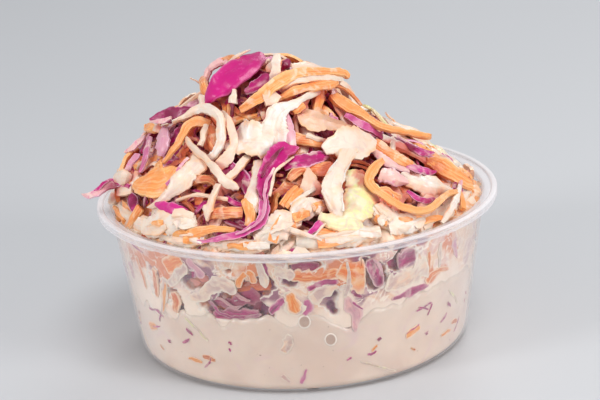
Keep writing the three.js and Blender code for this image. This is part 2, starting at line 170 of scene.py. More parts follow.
def wall_radius(z, inset=0.0):
    taper = (WALL_TOP_RADIUS - WALL_FOOT_RADIUS) * z / TUB_HEIGHT
    return WALL_FOOT_RADIUS + taper - inset / math.cos(WALL_SLOPE)


def dressing_top(x, y):
    angle = np.arctan2(y, x)
    near_wall = np.minimum(1, np.hypot(x, y) / WALL_FOOT_RADIUS)
    wave = 0.6 * np.sin(angle - 0.9) + 0.25 * np.sin(3 * angle + 0.5) + 0.35 * np.sin(5 * angle + 2)
    return DRESSING_LEVEL - DRESSING_WAVE * near_wall * wave


print("the wall leans", round(math.degrees(WALL_SLOPE), 1), "degrees")

# %% The heap's surface
HEAP_CENTRE = np.array([-6.0, 0.0, TUB_HEIGHT - 3])
HEAP_RISE = 31.5
LEFT_ROUNDNESS = 1.85
RIGHT_ROUNDNESS = 1.2
KNOT = np.array([0.03, -0.05, 1.0]) / np.linalg.norm([0.03, -0.05, 1.0])
KNOT_RISE = 0.37
KNOT_SPREAD = 0.6


def unit(v):
    return v / np.maximum(np.linalg.norm(v, axis=-1, keepdims=True), 1e-9)


def heap_radius(direction):
    x, y, z = direction[..., 0], direction[..., 1], direction[..., 2]
    angle = np.arctan2(y, x)
    wall = wall_radius(HEAP_CENTRE[2], WALL + 0.3)
    along = HEAP_CENTRE[0] * np.cos(angle) + HEAP_CENTRE[1] * np.sin(angle)
    reach = -along + np.sqrt(along ** 2 + wall ** 2 - HEAP_CENTRE[0] ** 2 - HEAP_CENTRE[1] ** 2)
    power = LEFT_ROUNDNESS + (RIGHT_ROUNDNESS - LEFT_ROUNDNESS) * (1 + np.cos(angle)) / 2
    level = np.hypot(x, y) / reach
    upward = np.maximum(z, 0) / HEAP_RISE
    knot = KNOT_RISE * np.exp(-(np.arccos(np.clip(direction @ KNOT, -1, 1)) / KNOT_SPREAD) ** 2)
    return (1 + knot) * (level ** power + upward ** power) ** (-1 / power)


def height_over_heap(p):
    d = p - HEAP_CENTRE
    return np.linalg.norm(d, axis=-1) - heap_radius(unit(d))


def heap_normal(p):
    steps = np.eye(3) * 0.5
    return unit(np.stack([height_over_heap(p + s) - height_over_heap(p - s) for s in steps], axis=-1))


def onto_heap(p):
    direction = unit(p - HEAP_CENTRE)
    return HEAP_CENTRE + direction * heap_radius(direction)[..., None]


def heap_point(azimuth, elevation):
    level = np.cos(elevation)
    direction = np.stack([np.cos(azimuth) * level, np.sin(azimuth) * level, np.sin(elevation)], axis=-1)
    return HEAP_CENTRE + direction * heap_radius(direction)[..., None]


print("heap top at", heap_point(np.array(0.0), np.array(math.pi / 2))[2].round(1), "mm")

# %% [markdown]
# ## Small tools for meshes
#
# Everything that is irregular here uses one smooth noise: a sum of sine waves in random directions.
# It is cheap on whole arrays and gives the same result every time. Round bodies are rings of points
# one above the other, joined by four-sided faces. A mesh is made from its points and faces in one
# go, and each point may carry numbers, called attributes, that its material reads.

# %% Smooth noise and a mesh maker
def waves(p, size, seed, count=7):
    rng = np.random.default_rng(seed)
    total = 0
    for _ in range(count):
        direction = unit(rng.normal(size=3)) * (2 * math.pi / size) * rng.uniform(0.6, 1.5)
        total = total + np.sin(p @ direction + rng.uniform(0, 2 * math.pi))
    return total / math.sqrt(count)


def circle(segments):
    return 2 * math.pi * np.arange(segments) / segments


def around(radius, angle, z):
    """Points at some distance from the upright axis."""
    return np.stack([radius * np.cos(angle), radius * np.sin(angle), z], axis=-1)


def ring_faces(rings, segments, first=0):
    """The numbers of the points in each ring, and the faces between each ring and the next."""
    at = first + np.arange(rings * segments).reshape(rings, segments)
    beside = np.roll(at, -1, axis=1)
    return at, np.stack([at[:-1], beside[:-1], beside[1:], at[1:]], axis=-1).reshape(-1, 4).tolist()


def capped_rings(rings, segments):
    """The faces between rings, with a flat face over each end."""
    at, faces = ring_faces(rings, segments)
    return faces + [at[0, ::-1].tolist(), at[-1].tolist()]


def make_piece(name, points, faces, attributes, material, slot, crisp=None):
    """One mesh on the body. Edges that bend more than crisp, in degrees, are drawn sharp."""
    mesh = bpy.data.meshes.new(name)
    mesh.from_pydata((points * MM).tolist(), [], faces)
    for key, values in attributes.items():
        layer = mesh.attributes.new(key, "FLOAT", "POINT")
        layer.data.foreach_set("value", np.asarray(values, dtype=np.float32).ravel())
    mesh.polygons.foreach_set("use_smooth", [True] * len(mesh.polygons))
    mesh.materials.append(material)
    mesh.update()
    if crisp:
        mesh.set_sharp_from_angle(angle=math.radians(crisp))
    piece = bpy.data.objects.new(name, mesh)
    bpy.context.scene.collection.objects.link(piece)
    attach(piece, "root")
    triangles = sum(len(f) - 2 for f in faces)
    print(f"{name}: {len(points)} points, {triangles} triangles")
    return piece


# %% [markdown]
# ## Small tools for materials
#
# A material is a small network of nodes. These helpers add a node, link it and return its output,
# so that a finish can be read from top to bottom as a recipe.

# %% Node helpers
REACH_OF_RED_GREEN_BLUE = (1.0, 0.55, 0.35)
WET_ROUGHNESS = 0.16


class Recipe:
    """The node network of one material. Sizes of noise are in millimetres."""

    def __init__(self, name):
        self.material = bpy.data.materials.new(name)
        self.material.use_nodes = True
        self.tree = self.material.node_tree
        self.shader = self.tree.nodes["Principled BSDF"]
        self.position = self.add("ShaderNodeTexCoord").outputs["Object"]

    def add(self, kind, **settings):
        node = self.tree.nodes.new(kind)
        for key, value in settings.items():
            setattr(node, key, value)
        return node

    def link(self, source, target):
        if isinstance(source, bpy.types.NodeSocket):
            self.tree.links.new(source, target)
        elif target.type == "RGBA":
            target.default_value = (*source, 1)
        else:
            target.default_value = source

    def attribute(self, name):
        return self.add("ShaderNodeAttribute", attribute_name=name).outputs["Fac"]

    def height(self):
        node = self.add("ShaderNodeSeparateXYZ")
        self.link(self.position, node.inputs["Vector"])
        return node.outputs["Z"]

    def noise(self, size, detail=2.0, distortion=0.0, where=None):
        node = self.add("ShaderNodeTexNoise")
        self.link(where or self.position, node.inputs["Vector"])
        node.inputs["Scale"].default_value = 1 / (size * MM)
        node.inputs["Detail"].default_value = detail
        node.inputs["Distortion"].default_value = distortion
        return node.outputs["Fac"]

    def grain(self, fineness):
        """Noise in streaks that run along a shred."""
        node = self.add("ShaderNodeCombineXYZ")
        for key, name, factor in (("X", "across", fineness), ("Y", "along", 2.0), ("Z", "chance", 90.0)):
            self.link(self.times(self.attribute(name), factor), node.inputs[key])
        return self.noise(1 / MM, 3, 0.0, node.outputs["Vector"])

    def spread(self, value, low, high, to_low=0.0, to_high=1.0):
        node = self.add("ShaderNodeMapRange", interpolation_type="SMOOTHSTEP")
        self.link(value, node.inputs["Value"])
        for key, number in (("From Min", low), ("From Max", high), ("To Min", to_low), ("To Max", to_high)):
            node.inputs[key].default_value = number
        return node.outputs["Result"]

    def math(self, operation, a, b=0.0):
        node = self.add("ShaderNodeMath", operation=operation)
        self.link(a, node.inputs[0])
        self.link(b, node.inputs[1])
        return node.outputs[0]

    def times(self, a, b):
        return self.math("MULTIPLY", a, b)

    def blend(self, share, a, b):
        node = self.add("ShaderNodeMix", data_type="RGBA")
        self.link(share, node.inputs["Factor"])
        self.link(a, node.inputs[6])
        self.link(b, node.inputs[7])
        return node.outputs[2]

    def ramp(self, value, *stops):
        """Colours along a value: each stop is a place from 0 to 1 and a colour."""
        node = self.add("ShaderNodeValToRGB")
        self.link(value, node.inputs["Fac"])
        elements = node.color_ramp.elements
        while len(elements) < len(stops):
            elements.new(0.5)
        for element, (place, colour) in zip(elements, stops):
            element.position = place
            element.color = (*colour, 1)
        return node.outputs["Color"]

    def bump(self, height, strength, depth):
        node = self.add("ShaderNodeBump")
        self.link(height, node.inputs["Height"])
        node.inputs["Strength"].default_value = strength
        node.inputs["Distance"].default_value = depth * MM
        self.link(node.outputs["Normal"], self.shader.inputs["Normal"])

    def finish(self, colour, roughness, translucency=0.0, reach=2.0, coat=0.0):
        self.link(colour, self.shader.inputs["Base Color"])
        self.link(roughness, self.shader.inputs["Roughness"])
        self.shader.inputs["Subsurface Weight"].default_value = translucency
        self.shader.inputs["Subsurface Radius"].default_value = REACH_OF_RED_GREEN_BLUE
        self.shader.inputs["Subsurface Scale"].default_value = reach * MM
        self.shader.inputs["Coat Weight"].default_value = coat
        self.shader.inputs["Coat Roughness"].default_value = WET_ROUGHNESS
        print(self.material.name, "has", len(self.tree.nodes), "nodes")
        return self.material


def srgb(red, green, blue):
    """A colour given as 0 to 255 on a screen, in the linear numbers that a shader wants."""
    return tuple((c / 255 / 12.92) if c / 255 <= 0.04045 else ((c / 255 + 0.055) / 1.055) ** 2.4
                 for c in (red, green, blue))


print("middle grey on a screen is", round(srgb(128, 128, 128)[0], 3), "in a shader")

# %% [markdown]
# ## The tub
#
# The real tub is moulded in one piece from clear plastic that looks slightly milky. Its profile is
# drawn once, from the base up the outside, over the rim and down the inside, and turned round the
# axis. The rim has a ledge for a lid, a round bead and a small lip that turns down.

# %% The tub's profile
LEDGE_DROP, LIP_DROP = 0.7, 1.8
OUTER_BEAD, INNER_BEAD, BEAD_WIDTH = 0.55, 0.35, 1.35
LEDGE_START, LEDGE_END = 1.9, 2.1


def corner_arc(radius, inset, steps):
    turn = math.pi / 2 - WALL_SLOPE
    foot = wall_radius(inset, inset) - radius * math.tan(turn / 2)
    angles = -math.pi / 2 + turn * np.arange(steps + 1) / steps
    return [(foot + radius * math.cos(a), inset + radius + radius * math.sin(a)) for a in angles]


def arc(centre, radius, start, end, steps):
    angles = np.radians(np.linspace(start, end, steps + 1))
    return [(centre[0] + radius * math.cos(a), centre[1] + radius * math.sin(a)) for a in angles]


def tub_profile():
    """Points (radius, height) from the axis along the underside, up, over the rim and back inside."""
    top, ledge = TUB_HEIGHT, TUB_HEIGHT - LEDGE_DROP
    under = ledge - WALL
    outside = corner_arc(CORNER_RADIUS, 0, 10)
    inside = corner_arc(CORNER_RADIUS - WALL, WALL, 8)[::-1]
    lip_foot = top - LIP_DROP
    rim = [
        (wall_radius(under), under - 0.15), (wall_radius(under) + 0.3, under),
        (RIM_RADIUS - WALL, under), (RIM_RADIUS - WALL, lip_foot + 0.1),
        *arc((RIM_RADIUS - WALL / 2, lip_foot + 0.1), WALL / 2, 180, 360, 5),
        *arc((RIM_RADIUS - OUTER_BEAD, top - OUTER_BEAD), OUTER_BEAD, 0, 90, 6),
        *arc((RIM_RADIUS - BEAD_WIDTH, top - INNER_BEAD), INNER_BEAD, 90, 175, 4),
        (RIM_RADIUS - LEDGE_START, ledge), (RIM_RADIUS - LEDGE_END, ledge),
        (wall_radius(ledge, WALL) + 0.6, ledge), (wall_radius(ledge, WALL) + 0.2, ledge - 0.1),
        (wall_radius(ledge - 0.6, WALL), ledge - 0.6),
    ]
    return [(0, 0), *outside, *rim, *inside, (0, WALL)]


def turned(profile, segments):
    """Turns a profile that starts and ends on the axis into a closed mesh."""
    rows = [around(radius, circle(segments), np.full(segments, z)) for radius, z in profile[1:-1]]
    points = np.concatenate([[[0, 0, profile[0][1]]], *rows, [[0, 0, profile[-1][1]]]])
    at, faces = ring_faces(len(rows), segments, first=1)
    foot, top, last = at[0].tolist(), at[-1].tolist(), len(points) - 1
    faces += [(0, foot[(i + 1) % segments], foot[i]) for i in range(segments)]
    faces += [(last, top[i], top[(i + 1) % segments]) for i in range(segments)]
    return points, faces


print(len(tub_profile()), "points in the profile")

# %% [markdown]
# Milky clear plastic lets most light straight through and scatters the rest. A real glass shader
# would bend light twice in so thin a wall and be slow and grainy, so the wall is a mix instead:
# partly a see-through shader, partly white gloss. There is more white where the surface is seen
# edge on, and in the rim, most along its upper edge and along the foot of its lip, where the
# extra white paints two highlight lines.

# %% The tub's plastic and the tub
def tub_plastic():
    recipe = Recipe("milky clear plastic")
    up = recipe.height()
    in_rim = recipe.spread(up, (TUB_HEIGHT - 2.4) * MM, (TUB_HEIGHT - 1.6) * MM)
    glancing = recipe.add("ShaderNodeLayerWeight")
    glancing.inputs["Blend"].default_value = 0.35
    haze = recipe.spread(glancing.outputs["Facing"], 0.25, 0.98, 0.05, 0.52)
    # Painted highlights: two bands of extra white along the rim's upper edge and the foot of its lip.
    top_highlight_line = recipe.spread(up, (TUB_HEIGHT - 0.45) * MM, (TUB_HEIGHT - 0.1) * MM, 0.12, 0.42)
    foot_highlight_line = recipe.spread(up, (TUB_HEIGHT - 1.3) * MM, (TUB_HEIGHT - LIP_DROP) * MM, 0.12, 0.4)
    lines = recipe.math("MAXIMUM", top_highlight_line, foot_highlight_line)
    haze = recipe.math("ADD", haze, recipe.times(in_rim, lines))
    scuffs = recipe.spread(recipe.noise(7, 3), 0.3, 0.8, -0.02, 0.03)
    haze = recipe.math("ADD", haze, recipe.times(scuffs, recipe.math("SUBTRACT", 1, in_rim)))
    recipe.finish(srgb(243, 238, 240), recipe.spread(in_rim, 0, 1, 0.16, 0.42))
    clear = recipe.add("ShaderNodeBsdfTransparent")
    mixed = recipe.add("ShaderNodeMixShader")
    recipe.link(haze, mixed.inputs[0])
    recipe.link(clear.outputs[0], mixed.inputs[1])
    recipe.link(recipe.shader.outputs[0], mixed.inputs[2])
    output = recipe.tree.nodes["Material Output"]
    recipe.link(mixed.outputs[0], output.inputs["Surface"])
    return recipe.material


tub = make_piece("plastic_tub", *turned(tub_profile(), 180), {}, tub_plastic(), "tub")
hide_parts("tub")

# %% [markdown]
# ## The dressing
#
# The lower half of the tub is full of dressing. It touches the plastic, so its mesh reaches just
# into the wall: with no gap, nothing shines between the two. Its top is the uneven line where the
# slaw begins, carried in to the middle ring by ring.

# %% The dressing's surface
DRESSING_SEGMENTS = 360
SIDE_ROWS = 10
TOP_SHARES = (0.985, 0.95, 0.8, 0.6, 0.4, 0.2, 0.01)


def dressing_at_wall(angles):
    return dressing_top(WALL_FOOT_RADIUS * np.cos(angles), WALL_FOOT_RADIUS * np.sin(angles))


def dressing_mesh():
    reach = WALL - INTO_WALL
    angles = circle(DRESSING_SEGMENTS)
    foot = corner_arc(CORNER_RADIUS - reach, reach, 8)
    profile = [(0.02, reach), (foot[0][0] * 0.5, reach), *foot]
    rings = [(radius, np.full(DRESSING_SEGMENTS, z)) for radius, z in profile]
    on_wall = around(50, angles, 0 * angles)
    edge = dressing_at_wall(angles) + 1.3 * waves(on_wall, 9, 3) + 0.7 * waves(on_wall, 4, 4)
    for share in np.linspace(0.15, 1, SIDE_ROWS):
        z = foot[-1][1] + (edge - foot[-1][1]) * share
        rings.append((wall_radius(z, reach), z))
    for share in TOP_SHARES:
        radius = wall_radius(edge, reach) * share
        level = dressing_top(radius * np.cos(angles), radius * np.sin(angles))
        z = level * (1 - share ** 6) + edge * share ** 6
        rings.append((radius, z + 0.4 * (1 - share)))
    points = np.concatenate([around(radius, angles, z) for radius, z in rings])
    return points, capped_rings(len(rings), DRESSING_SEGMENTS)


print("the dressing stands up to", dressing_mesh()[0][:, 2].max().round(1), "mm")

# %% [markdown]
# Dressing is smooth and pale, a little pink from the red cabbage. It is not one flat colour: broad
# soft clouds of pink and yellow run through it, with tiny specks of herbs and pepper. Light enters
# it and comes out again nearby, which subsurface scattering gives.

# %% The dressing's finish
def dressing_cream():
    recipe = Recipe("creamy dressing")
    clouds = recipe.spread(recipe.noise(16, 2, 0.5), 0.35, 0.68)
    colour = recipe.blend(clouds, srgb(232, 210, 193), srgb(223, 198, 181))
    blush = recipe.spread(recipe.noise(9, 2, 1.0), 0.56, 0.78, 0, 0.5)
    colour = recipe.blend(blush, colour, srgb(226, 192, 196))
    specks = recipe.spread(recipe.noise(1.1, 1), 0.75, 0.8, 0, 0.6)
    colour = recipe.blend(specks, colour, srgb(150, 110, 90))
    recipe.bump(recipe.noise(5, 2), 0.2, 0.4)
    return recipe.finish(colour, 0.3, translucency=0.25, reach=3.0)


dressing = make_piece("dressing_pool", *dressing_mesh(), {}, dressing_cream(), "dressing")
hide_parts("dressing")

# %% [markdown]
# ## Drawing on the heap and on the wall
#
# The pieces that one notices first are drawn: a petal, a winding strip, a hanging leaf. They
# are drawn on an upright sheet that stands through the tub's axis and faces the camera, x to the
# right and y up, in millimetres from its middle. Each point is then carried along its line of sight
# until it meets the heap or the wall. The sheet can also be turned round the tub's axis, to draw on
# the sides and on the back.

# %% From the sheet to the food
SHEET_MIDDLE, EYE = np.array(AIM) / MM, np.array(AIM + DISTANCE * CAMERA_BACK) / MM
SHEET_RIGHT, SHEET_UP = np.array(CAMERA_RIGHT), np.array(CAMERA_UP)
SIGHT_STEPS = np.linspace(480.0, 690.0, 211)


def turned_about_axis(p, angle):
    c, s = math.cos(angle), math.sin(angle)
    return np.stack([c * p[..., 0] - s * p[..., 1], s * p[..., 0] + c * p[..., 1], p[..., 2]], axis=-1)


def over_wall(p, inset=0.0):
    return np.hypot(p[..., 0], p[..., 1]) - wall_radius(p[..., 2], inset)


def meet(x, y, level, height, turn=0.0):
    """Where the line of sight through each sheet point meets height == level; also how far it missed."""
    on_sheet = SHEET_MIDDLE + x[:, None] * SHEET_RIGHT + y[:, None] * SHEET_UP
    sight = unit(on_sheet - EYE)
    p = turned_about_axis(EYE + sight[:, None, :] * SIGHT_STEPS[None, :, None], turn)
    gap = height(p) - level[:, None]
    first = np.where((gap < 0).any(axis=1), np.argmax(gap < 0, axis=1), np.argmin(gap, axis=1))
    row, previous = np.arange(len(x)), np.maximum(first - 1, 0)
    before, here = gap[row, previous], gap[row, first]
    back = np.where(here < 0, here / np.minimum(here - before, -1e-6), 0)
    found = p[row, first] + (p[row, previous] - p[row, first]) * back[:, None]
    return found, np.maximum(here, 0)


print("the sheet looks at", SHEET_MIDDLE.round(1), "from", EYE.round())

# %% [markdown]
# ## The imported slaw under the surface
#
# Between the loose shreds one sees into the heap: a mass of dressing, carrot and cabbage in warm
# shade, and this shade is painted into the colour of its dome. It is one mesh like a lumpy loaf. Its
# foot stands in the dressing and its top stays a few millimetres below the heap's surface. Its side
# presses creamy patches flat against the wall, with hollows between them that show violet and
# brown, painted darker as shade. In front the hollows are drawn, each as a short line with a width,
# and elsewhere smooth noise makes them.

# %% Hollows behind the wall
HOLLOWS = [
    [(-28, -31, 4), (-23, -33.5, 8), (-18, -34, 9), (-13.5, -33, 8)],
    [(-22, -28.5, 5), (-16, -27.5, 7), (-11, -26, 6)],
    [(-34, -23.5, 4.5), (-30.5, -24, 6)],
    [(-37.5, -28, 4), (-36.5, -31.5, 5)],
    [(-24, -21.4, 1.5), (-22, -20.9, 1.5)],
    [(9.5, -28, 3.6), (9.5, -33, 2.8)],
    [(-2.5, -19.8, 3.4), (5, -19.3, 3.4)],
    [(-4.4, -24.4, 2), (-2, -24.2, 2)],
    [(19, -21, 6.5), (22.5, -23, 7.5)],
    [(29, -18.4, 5), (33.5, -16.6, 4.5)],
    [(27, -14, 3), (38, -11.5, 3)],
    [(-44, -21, 3), (-43, -27, 2.5)],
]
ORANGE_CLOUDS = [
    [(-50, -16, 5), (-44, -19.5, 9), (-38, -18, 8)],
    [(-40, -24, 5), (-39, -30, 5.5), (-36.5, -32, 4)],
    [(-19, -22, 5), (-14.5, -21, 6)],
    [(-2, -21.5, 6), (6, -21.5, 7), (13, -22, 8), (19, -20, 8)],
    [(7, -29.5, 4), (9.5, -31, 5)],
    [(44, -13, 5), (46, -17, 3)],
    [(36, -23, 2.5), (40, -21.5, 3.5), (43, -20.5, 2.5)],
]
VIOLET_CLOUDS = [
    [(-34, -19, 6), (-29, -22, 8)],
    [(-30, -31, 9), (-22, -33, 13), (-14, -32, 13), (-9, -30, 8)],
    [(-50, -19, 4), (-48.5, -24, 4)],
    [(-7, -34.5, 6), (-3, -36.5, 6)],
    [(19, -19, 8), (22.5, -24, 9)],
    [(29, -19, 6), (33, -17, 6)],
    [(2, -31, 3.5), (3, -33, 3)],
    [(15, -27, 4), (17.5, -30, 5)],
]
FRONT_HALF = math.radians(82)
FAR_OUTSIDE = -99.0
print(len(HOLLOWS), "hollows,", len(ORANGE_CLOUDS) + len(VIOLET_CLOUDS), "stains")

# %% How far a point lies inside what is drawn
def depth_inside(p, paths, dots=12):
    """How deep each point lies inside the drawn paths: above 0 inside, below 0 outside."""
    depth = np.full(p.shape[:-1], FAR_OUTSIDE)
    for path in paths:
        corners = np.array(path, dtype=float)
        at = np.linspace(0, len(corners) - 1, dots)
        x, y, width = (np.interp(at, np.arange(len(corners)), column) for column in corners.T)
        places, _ = meet(x, y, 0 * x, over_wall)
        for place, radius in zip(places, width / 2):
            depth = np.maximum(depth, radius - np.linalg.norm(p - place, axis=-1))
    return depth


def in_front(p):
    angle = np.abs(np.arctan2(p[..., 1], p[..., 0]) + math.pi / 2)
    return np.clip((FRONT_HALF - np.minimum(angle, 2 * math.pi - angle)) / 0.15, 0, 1)


def front_or_round(p, drawn, elsewhere):
    """What is drawn holds in front, and the noise holds round the rest of the tub."""
    front = in_front(p)
    return drawn * front + elsewhere * (1 - front)


def wall_hollows(p):
    noise = 0.5 + 0.9 * waves(p, 10, 21) + 0.35 * waves(p, 4.5, 22)
    uneven = 0.7 * waves(p, 5, 23) + 0.35 * waves(p, 2.2, 24)
    drawn = np.clip(0.4 + (depth_inside(p, HOLLOWS) + uneven) / 2.2, 0, 1)
    share = front_or_round(p, drawn, np.clip(noise, 0, 1))
    return share * share * (3 - 2 * share)


def stains(p, paths, seed):
    """Soft stains behind the wall, drawn in front and given by smooth noise elsewhere."""
    drawn = depth_inside(p, paths) + 0.8 * waves(p, 5, seed)
    return front_or_round(p, np.clip(0.4 + drawn / 4, 0, 1), np.clip(0.9 * waves(p, 13, seed + 1), 0, 1))


print("hollows are drawn over", round(math.degrees(2 * FRONT_HALF)), "degrees in front")

# %% The core's mesh
CORE_SEGMENTS, CORE_SIDE_ROWS, CORE_DOME_ROWS = 420, 64, 60
CORE_IN_DRESSING = 2.5
HOLLOW_DEPTH = 2.6
CORE_SINK, SINKING_ROWS = 4.6, 13


def core_mesh():
    angles = circle(CORE_SEGMENTS)
    low = dressing_at_wall(angles) - CORE_IN_DRESSING
    rows, depths = [], []
    for share in (0.02, 0.5, 0.93):
        rows.append(around(wall_radius(low, WALL) * share, angles, low))
        depths.append(0 * angles + 1)
    for share in np.linspace(0, 1, CORE_SIDE_ROWS):
        z = low + (HEAP_CENTRE[2] - 0.5 - low) * share
        radius = wall_radius(z, WALL - INTO_WALL + 0.02)
        hollow = wall_hollows(around(radius, angles, z)) * np.clip((z - low - 2) / 1.5, 0, 1)
        rows.append(around(radius - HOLLOW_DEPTH * hollow, angles, z))
        # the hollow share also sets how much shade the material paints there
        depths.append(hollow)
    for k in range(CORE_DOME_ROWS):
        elevation = (math.pi / 2) * (k + 0.4) / (CORE_DOME_ROWS + 0.4)
        p = heap_point(angles, elevation + 0 * angles)
        lumps = 1.3 * waves(p, 11, 31) + 0.8 * waves(p, 4.5, 32)
        sink = CORE_SINK * min(1, 0.1 + k / SINKING_ROWS)
        rows.append(p + heap_normal(p) * (lumps - sink)[:, None])
        # on the dome the hollow attribute is set high, so that its material paints it with the dark gap shade
        depths.append(np.clip(0.9 - 0.2 * lumps, 0, 1))
    points = np.concatenate(rows)
    return points, capped_rings(len(rows), CORE_SEGMENTS), {
        "hollow": np.concatenate(depths), "orange": stains(points, ORANGE_CLOUDS, 41),
        "violet": stains(points, VIOLET_CLOUDS, 43),
    }


# %% The core's finish
def packed_slaw_and_shade():
    recipe = Recipe("packed slaw and painted shade")
    up = recipe.height()
    shifted = recipe.add("ShaderNodeVectorMath", operation="ADD")
    recipe.link(recipe.position, shifted.inputs[0])
    shifted.inputs[1].default_value = (0.3, 0.1, 0.7)
    broad = recipe.spread(recipe.noise(16, 2, 0.5), 0.35, 0.68)
    cream = recipe.blend(broad, srgb(247, 226, 208), srgb(240, 215, 196))
    marbled = recipe.ramp(
        recipe.noise(11, 4, 1.4), (0, srgb(206, 160, 168)), (0.38, srgb(224, 186, 178)),
        (0.44, srgb(244, 220, 200)), (0.5, srgb(238, 196, 166)), (0.56, srgb(246, 224, 206)),
        (0.62, srgb(228, 192, 184)), (0.7, srgb(236, 184, 152)))
    uneven = recipe.spread(recipe.noise(3.5, 4, 0.8), 0.3, 0.7, -0.3, 0.3)
    orange = recipe.spread(recipe.math("ADD", recipe.attribute("orange"), uneven), 0.2, 0.8, 0, 0.9)
    marbled = recipe.blend(orange, marbled, srgb(226, 132, 84))
    violet = recipe.spread(recipe.math("ADD", recipe.attribute("violet"), uneven), 0.15, 0.85, 0, 0.85)
    marbled = recipe.blend(violet, marbled, srgb(142, 84, 116))
    ridge = recipe.math("ABSOLUTE", recipe.math("SUBTRACT", recipe.noise(8, 3, 1.2), 0.5))
    marbled = recipe.blend(recipe.spread(ridge, 0.0, 0.022, 0.9, 0), marbled, srgb(253, 238, 222))
    wavy = recipe.spread(recipe.noise(9, 2), 0.3, 0.7, -5 * MM, 5 * MM)
    upper = recipe.spread(recipe.math("ADD", up, wavy), 25 * MM, 31 * MM)
    patch = recipe.blend(upper, cream, marbled)
    # Painted shade in the hollows: darker orange-brown, violet and greyer patches, partly the carrot and red
    # cabbage seen there.
    patches = recipe.spread(recipe.noise(8, 2, 1.0), 0.47, 0.53)
    shade = recipe.blend(patches, srgb(196, 118, 84), srgb(152, 86, 118))
    greyer_shade_patches = recipe.spread(recipe.noise(3, 3, 1.0, shifted.outputs["Vector"]), 0.5, 0.6, 0, 0.6)
    shade = recipe.blend(greyer_shade_patches, shade, srgb(190, 158, 148))
    patches = recipe.spread(recipe.noise(5, 2, 1.0), 0.45, 0.6)
    # Painted shade in the dome's gaps: dark red and brown, giving way to cream and orange low on the dome
    gap = recipe.blend(patches, srgb(138, 20, 62), srgb(178, 66, 54))
    patches = recipe.spread(recipe.noise(4, 3, 1.0), 0.45, 0.6)
    foot = recipe.blend(patches, srgb(244, 216, 192), srgb(240, 178, 132))
    gap = recipe.blend(recipe.spread(up, 46.5 * MM, 52 * MM), foot, gap)
    shade = recipe.blend(recipe.spread(up, (TUB_HEIGHT - 4) * MM, (TUB_HEIGHT - 2) * MM), shade, gap)
    # The hollow attribute paints the shade, in the hollows behind the wall and all over the dome.
    hollow = recipe.attribute("hollow")
    colour = recipe.blend(recipe.spread(hollow, 0.12, 0.6), patch, shade)
    meniscus = recipe.times(recipe.spread(hollow, 0.02, 0.1), recipe.spread(hollow, 0.35, 0.12))
    colour = recipe.blend(meniscus, colour, srgb(252, 238, 224))
    recipe.bump(recipe.noise(2.5, 3), 0.35, 0.6)
    return recipe.finish(colour, 0.35, translucency=0.15, reach=2.0)


core = make_piece("packed_slaw_and_shade", *core_mesh(), packed_slaw_and_shade(), "slaw")
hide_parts("slaw")

# %% [markdown]
# ## How a shred is made
#
# A shred is a strip swept along a line. Its cross-section is a flat ring of points, and each of its
# two edges is cut unevenly, as a knife or a grater leaves it. It may be cupped, twisted and ruffled.
# All shreds of one kind are swept together as one big array, which is hundreds of times faster than
# one by one. Each point remembers where it is: across and along the shred, the tone of its colour,
# how much shade is painted on it for lying deep in the heap and how much dressing coats it.

# %% Uneven lines and edges
def broken_line(rng, shape, knots, stations):
    """Random numbers from -1 to 1 at some knots, joined by straight lines along the stations."""
    at = np.linspace(0, knots - 1, stations)
    low = np.minimum(at.astype(int), knots - 2)
    share = at - low
    values = rng.uniform(-1, 1, (*shape, knots))
    return values[..., low] * (1 - share) + values[..., low + 1] * share


def ragged_edges(rng, count, stations, amount, knots=7, blunt=(0.1, 0.9)):
    """Uneven half widths left and right along each shred; blunt says how wide the ends stay."""
    sides = 1 + amount * broken_line(rng, (2, count), knots, stations)
    sides = sides + 0.4 * amount * broken_line(rng, (2, count), stations, stations)
    sides[..., [0, -1]] *= rng.uniform(*blunt, (2, count, 2))
    return np.moveaxis(sides, 0, -1)


def cupped(u, stations, cup, ruffle, phase):
    """The hollow and the ruffled edges of random shreds, with two waves along each."""
    s = np.linspace(0, 1, stations)[None, :, None]
    wave = np.sin(2 * math.pi * (2.0 * s + phase[:, None, None]) + 1.3 * u) * np.abs(u) ** 1.5
    return cup[:, None, None] * (u ** 2 - 0.35) + ruffle[:, None, None] * wave


LEAF_FOLDS = 3


def creased(rng, u, stations, width, bulge):
    """The relief of one leaf: a low arch, a few sharp folds along it and some across."""
    s = np.linspace(-1, 1, stations)[:, None]
    rise = bulge * (0.6 - u ** 2)
    for _ in range(LEAF_FOLDS):
        fold_at = rng.uniform(-0.7, 0.7) + rng.uniform(-0.5, 0.5) * s
        rise = rise + rng.choice([-1, 1]) * rng.uniform(0.04, 0.13) * width * (np.abs(u - fold_at) - 0.5)
    return rise[None] + 0.15 * broken_line(rng, (1,), max(3, stations // 3), stations).T[None]


print("a leaf gets", LEAF_FOLDS, "folds")

# %% Sweeping many shreds at once
EDGE_FULLNESS = 0.8


def sweep(lines, facing, width, thickness, edges, rise):
    """lines and facing are (shreds, stations, 3) and rise (shreds, stations, columns).

    edges holds the share of the half width that each shred has left and right at each station.
    """
    tangent = unit(np.gradient(lines, axis=1))
    side = unit(np.cross(tangent, facing))
    out = np.cross(side, tangent)
    u = np.linspace(-1, 1, rise.shape[-1])
    ring_u = np.concatenate([u, u[::-1]])
    fullness = np.where(np.abs(u) > 0.99, EDGE_FULLNESS, 1.0)
    ring_v = np.concatenate([fullness, -fullness])
    reach = np.where(ring_u < 0, edges[..., :1], edges[..., 1:]) * (0.5 * width)[..., None]
    full = np.minimum(1, 0.4 + edges.mean(axis=-1, keepdims=True))
    both = np.concatenate([rise, rise[..., ::-1]], axis=-1)
    height = (ring_v * 0.5 * thickness[:, None, None] + both) * full
    return (lines[:, :, None, :] + side[:, :, None, :] * (reach * ring_u)[..., None]
            + out[:, :, None, :] * height[..., None]), ring_u


